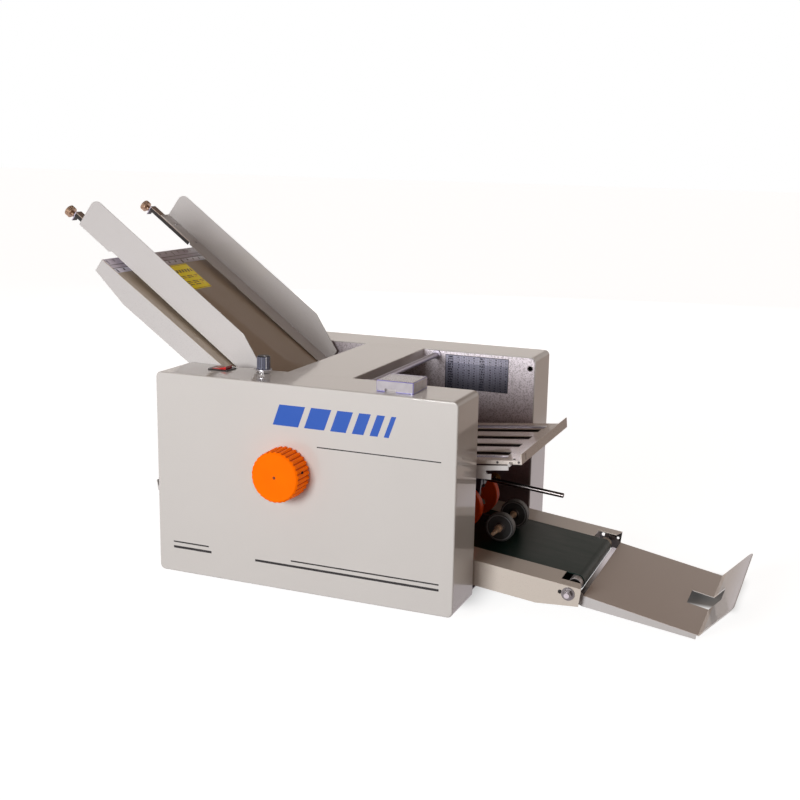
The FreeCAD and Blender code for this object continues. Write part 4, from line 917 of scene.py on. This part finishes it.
def knob_details():
    """The set screw and the centre hole of the hand knob, the hole a dark disc of painted shade, and the
    pointer of the speed knob.
    """
    middle = -22.0
    hole = at(273.0, middle, 203.5)
    centre = at(KNOB_AXIS[0], middle, KNOB_AXIS[1])
    outwards = (hole - centre).normalized()
    turned("knob_set_screw", "hand_knob", centre + outwards * (KNOB_RADIUS - 1.0) * MM, outwards,
           [(2.4, 0.0), (2.4, 1.9), (1.7, 1.9), (1.5, 0.6)], "black_rubber", paint="dark_hole", sides=24)
    # The centre hole is a dark disc: painted shade.
    turned("knob_centre", "hand_knob", at(KNOB_AXIS[0], KNOB_FRONT, KNOB_AXIS[1]), TO_FRONT,
           [(2.5, -1.0), (2.5, 0.05), (2.0, 0.12), (1.2, -0.4)], "black_rubber", paint="dark_hole",
           sides=32)
    axis = at(*SPEED_AXIS, CASE_TOP)
    pointer = (159.1, 160.3)
    aim = math.radians(-50)
    block("knob_pointer", "speed_knob", LEVEL, pointer, (53.9, 55.3), (340.4, 359.4), "counter_grey",
          paint="white_mark", turn=aim, centre=axis)
    block("knob_pointer_top", "speed_knob", LEVEL, pointer, (56.2, 65.0), (360.4, 360.7), "counter_grey",
          paint="white_mark", soft=0.05, turn=aim, centre=axis)


def counter_details():
    """The counter's dark window with six pale number wheels, and its two screws."""
    top = 342.3
    pitch = 4.75
    block("counter_window", "counter_body", LEVEL, (390, 420), (41, 53), (top - 0.3, top), "black_rubber",
          paint="dark_hole", soft=0.05)
    block("number_wheel", "counter_body", LEVEL, (391.3, 395.0), (42.6, 51.4), (top, top + 0.4),
          "counter_grey", paint="white_mark", moves=[(pitch * step, 0, 0) for step in range(1, 6)])
    screw("counter_screw", "counter_body", at(384.5, 34, 336), UPWARDS, 2.0, 1.2, moves=[(41, 0, 0)])


def delivery_details():
    """A dark sheet of painted shade in the rail's slot, the strip's near end, the hubs of discs and wheels,
    and the axle's end.
    """
    # A dark sheet in the rail's slot: painted shade.
    block("slot_shade", "conveyor_frame", BELT, (249, 258.5), (99.5, 99.8), (-17, -8), "black_rubber",
          paint="dark_hole", soft=0.0)
    block("transfer_end", "transfer_strip", OUTPUT, (-14.6, 10), (115, 150), (-2.7, -1.5), "bright_steel",
          paint="dark_steel", soft=0.2)
    disc_hub = [(5.2, -0.5), (11.0, -0.5), (11.0, 0.9), (10.2, 1.6), (5.2, 1.6), (5.2, -0.5)]
    for y, name in ((122.0, "near"), (210.0, "middle"), (298.0, "far")):
        turned("disc_hub_" + name, "delivery_discs", at(DISC_AXIS[0], y, DISC_AXIS[1]), TO_FRONT, disc_hub,
               "orange_disc", paint="orange_dark")
    press_hub = [(6.2, -0.4), (9.5, -0.4), (9.5, 0.5), (9.0, 0.9), (6.2, 0.9), (6.2, -0.4)]
    for y, name in ((199.0, "near"), (279.0, "far")):
        turned("press_hub_" + name, "press_wheels", at(PRESS_AXIS[0], y, PRESS_AXIS[1]), TO_FRONT,
               press_hub, "wheel_rubber", paint="dark_steel")
    turned("axle_end", "idler_axle", BELT.spot(END_AXLE[0], 90.0, END_AXLE[1]), TO_FRONT,
           [(4.4, -0.5), (4.4, 1.6), (3.9, 2.0), (1.0, 2.0)], "bright_steel", paint="bright_end", sides=32)


def fixings():
    """Plain screws at the corners of the housings' covers."""
    low, span_up, span_along = 24, 284, 472
    screw("rear_cover_screw", "rear_housing", at(20, 500, low), TO_REAR, 4.0, 2.2,
          moves=[(span_along, 0, 0), (0, 0, span_up), (span_along, 0, span_up)])
    screw("front_cover_screw", "front_housing", at(0, 60, low), TO_LEFT, 3.4, 1.8, moves=[(0, 0, span_up)])
    screw("rear_side_screw", "rear_housing", at(0, 440, low), TO_LEFT, 3.4, 1.8, moves=[(0, 0, span_up)])


tray_prints()
guide_details()
plate_details()
fold_details()
knob_details()
counter_details()
delivery_details()
fixings()


# ---------------------------------------------------------------- floor, light and camera

def floor():
    """A level surface that a camera sees white, with a painted shadow close under the machine and under the
    output tray.

    Mirrors see it lilac to the left and brown to the right, under the output tray.
    """
    bpy.ops.object.select_all(action="DESELECT")
    bpy.ops.mesh.primitive_plane_add(size=40, location=(0, 0, -0.0005))
    plane = bpy.context.object
    plane.name = "floor"
    paint = Paint("floor_white", (0.30, 0.29, 0.28), 0.9)
    x, y, _ = paint.axes()
    # Painted shadow: the glow drops away under the machine and under the output tray.
    shadow_under_base = x.soft(-0.36, -0.30) * x.soft(0.22, 0.12) * y.soft(-0.16, -0.10) * y.soft(0.24, 0.18)
    shadow_under_tray = x.soft(0.34, 0.40) * x.soft(0.59, 0.55) * y.soft(0.01, 0.04) * y.soft(0.20, 0.16)
    open_part = 1.0 - shadow_under_base.maths("MAXIMUM", shadow_under_tray)
    rays = paint.outlets("ShaderNodeLightPath")
    mirrored = rays["Is Glossy Ray"]
    seen = rays["Is Camera Ray"].maths("MAXIMUM", mirrored)
    shaded_glow, open_glow = 0.05, 0.92
    tint = paint.mix(x.soft(0.38, 0.48), (0.80, 0.74, 0.78), (0.47, 0.39, 0.345))
    glow = paint.node("ShaderNodeEmission", None, {
        "Color": paint.mix(mirrored, (1, 1, 1), tint),
        "Strength": seen * (open_part * (open_glow - shaded_glow) + shaded_glow)})
    both = paint.node("ShaderNodeAddShader", None, {0: Wire(paint, paint.shader.outputs[0]), 1: glow})
    paint.tree.links.new(both.socket, paint.tree.nodes["Material Output"].inputs["Surface"])
    plane.data.materials.append(paint.material)


def area_light(name, place, target, size, power, colour):
    """A rectangular lamp of a power in watts that looks at a target."""
    lamp = bpy.data.lights.new(name, "AREA")
    lamp.shape = "RECTANGLE"
    lamp.size, lamp.size_y = size
    lamp.energy = power
    lamp.color = colour
    holder = bpy.data.objects.new(name, lamp)
    holder.location = place
    aim = Vector(target) - Vector(place)
    holder.rotation_euler = aim.to_track_quat("-Z", "Y").to_euler()
    bpy.context.scene.collection.objects.link(holder)
    return holder


# Colours of the surroundings: the dim light, and what mirrors see high up and low down.
ROOM_LIGHT = (0.190, 0.136, 0.108)
HIGH_MIRRORED = (0.18, 0.142, 0.122)
LOW_MIRRORED = (0.90, 0.83, 0.78)


def world():
    """White behind the object, a dim warm light all round, and reflections that are bright low down."""
    sky = bpy.data.worlds.new("studio")
    sky.use_nodes = True
    graph = Graph(sky.node_tree)
    rays = graph.outlets("ShaderNodeLightPath")
    way = graph.outlets("ShaderNodeTexCoord")["Generated"]
    low = graph.outlets("ShaderNodeSeparateXYZ", {"Vector": way})["Z"].soft(0.42, 0.24)
    looked_at = rays["Is Camera Ray"].maths("MAXIMUM", rays["Is Transmission Ray"])
    plain = graph.mix(looked_at, ROOM_LIGHT, (1, 1, 1))
    mirrored = graph.mix(low, HIGH_MIRRORED, LOW_MIRRORED)
    colour = graph.mix(rays["Is Glossy Ray"], plain, mirrored)
    graph.tree.links.new(colour.socket, graph.tree.nodes["Background"].inputs["Color"])
    bpy.context.scene.world = sky


def camera():
    """The camera: its three axes, its lens and its place."""
    right = Vector((0.92598, 0.37709, 0.01896))
    down = Vector((0.09689, -0.18878, -0.97723))
    forward = Vector((-0.36493, 0.90673, -0.21134))
    lens = bpy.data.cameras.new("camera")
    lens.sensor_width = 36
    focal, wide = 1192.13, 800       # in pixels
    lens.lens = focal / wide * lens.sensor_width
    lens.clip_end = 50
    eye = bpy.data.objects.new("camera", lens)
    turn = Matrix((right, -down, -forward)).transposed()
    eye.matrix_world = Matrix.Translation(at(1059.50, -1586.10, 696.27)) @ turn.to_4x4()
    bpy.context.scene.collection.objects.link(eye)
    bpy.context.scene.camera = eye


floor()
world()
machine_middle = (0, 0, 0.2)
area_light("key", (-0.62, -3.7, 1.06), machine_middle, (1.2, 1.2), 99, (1.0, 0.99, 0.98))
back_light = area_light("back", (-0.9, 3.6, 0.62), machine_middle, (1.4, 0.9), 42, (1.0, 0.975, 0.955))
back_light.visible_glossy = False
camera()
scene = bpy.context.scene
scene.view_settings.view_transform = "Standard"
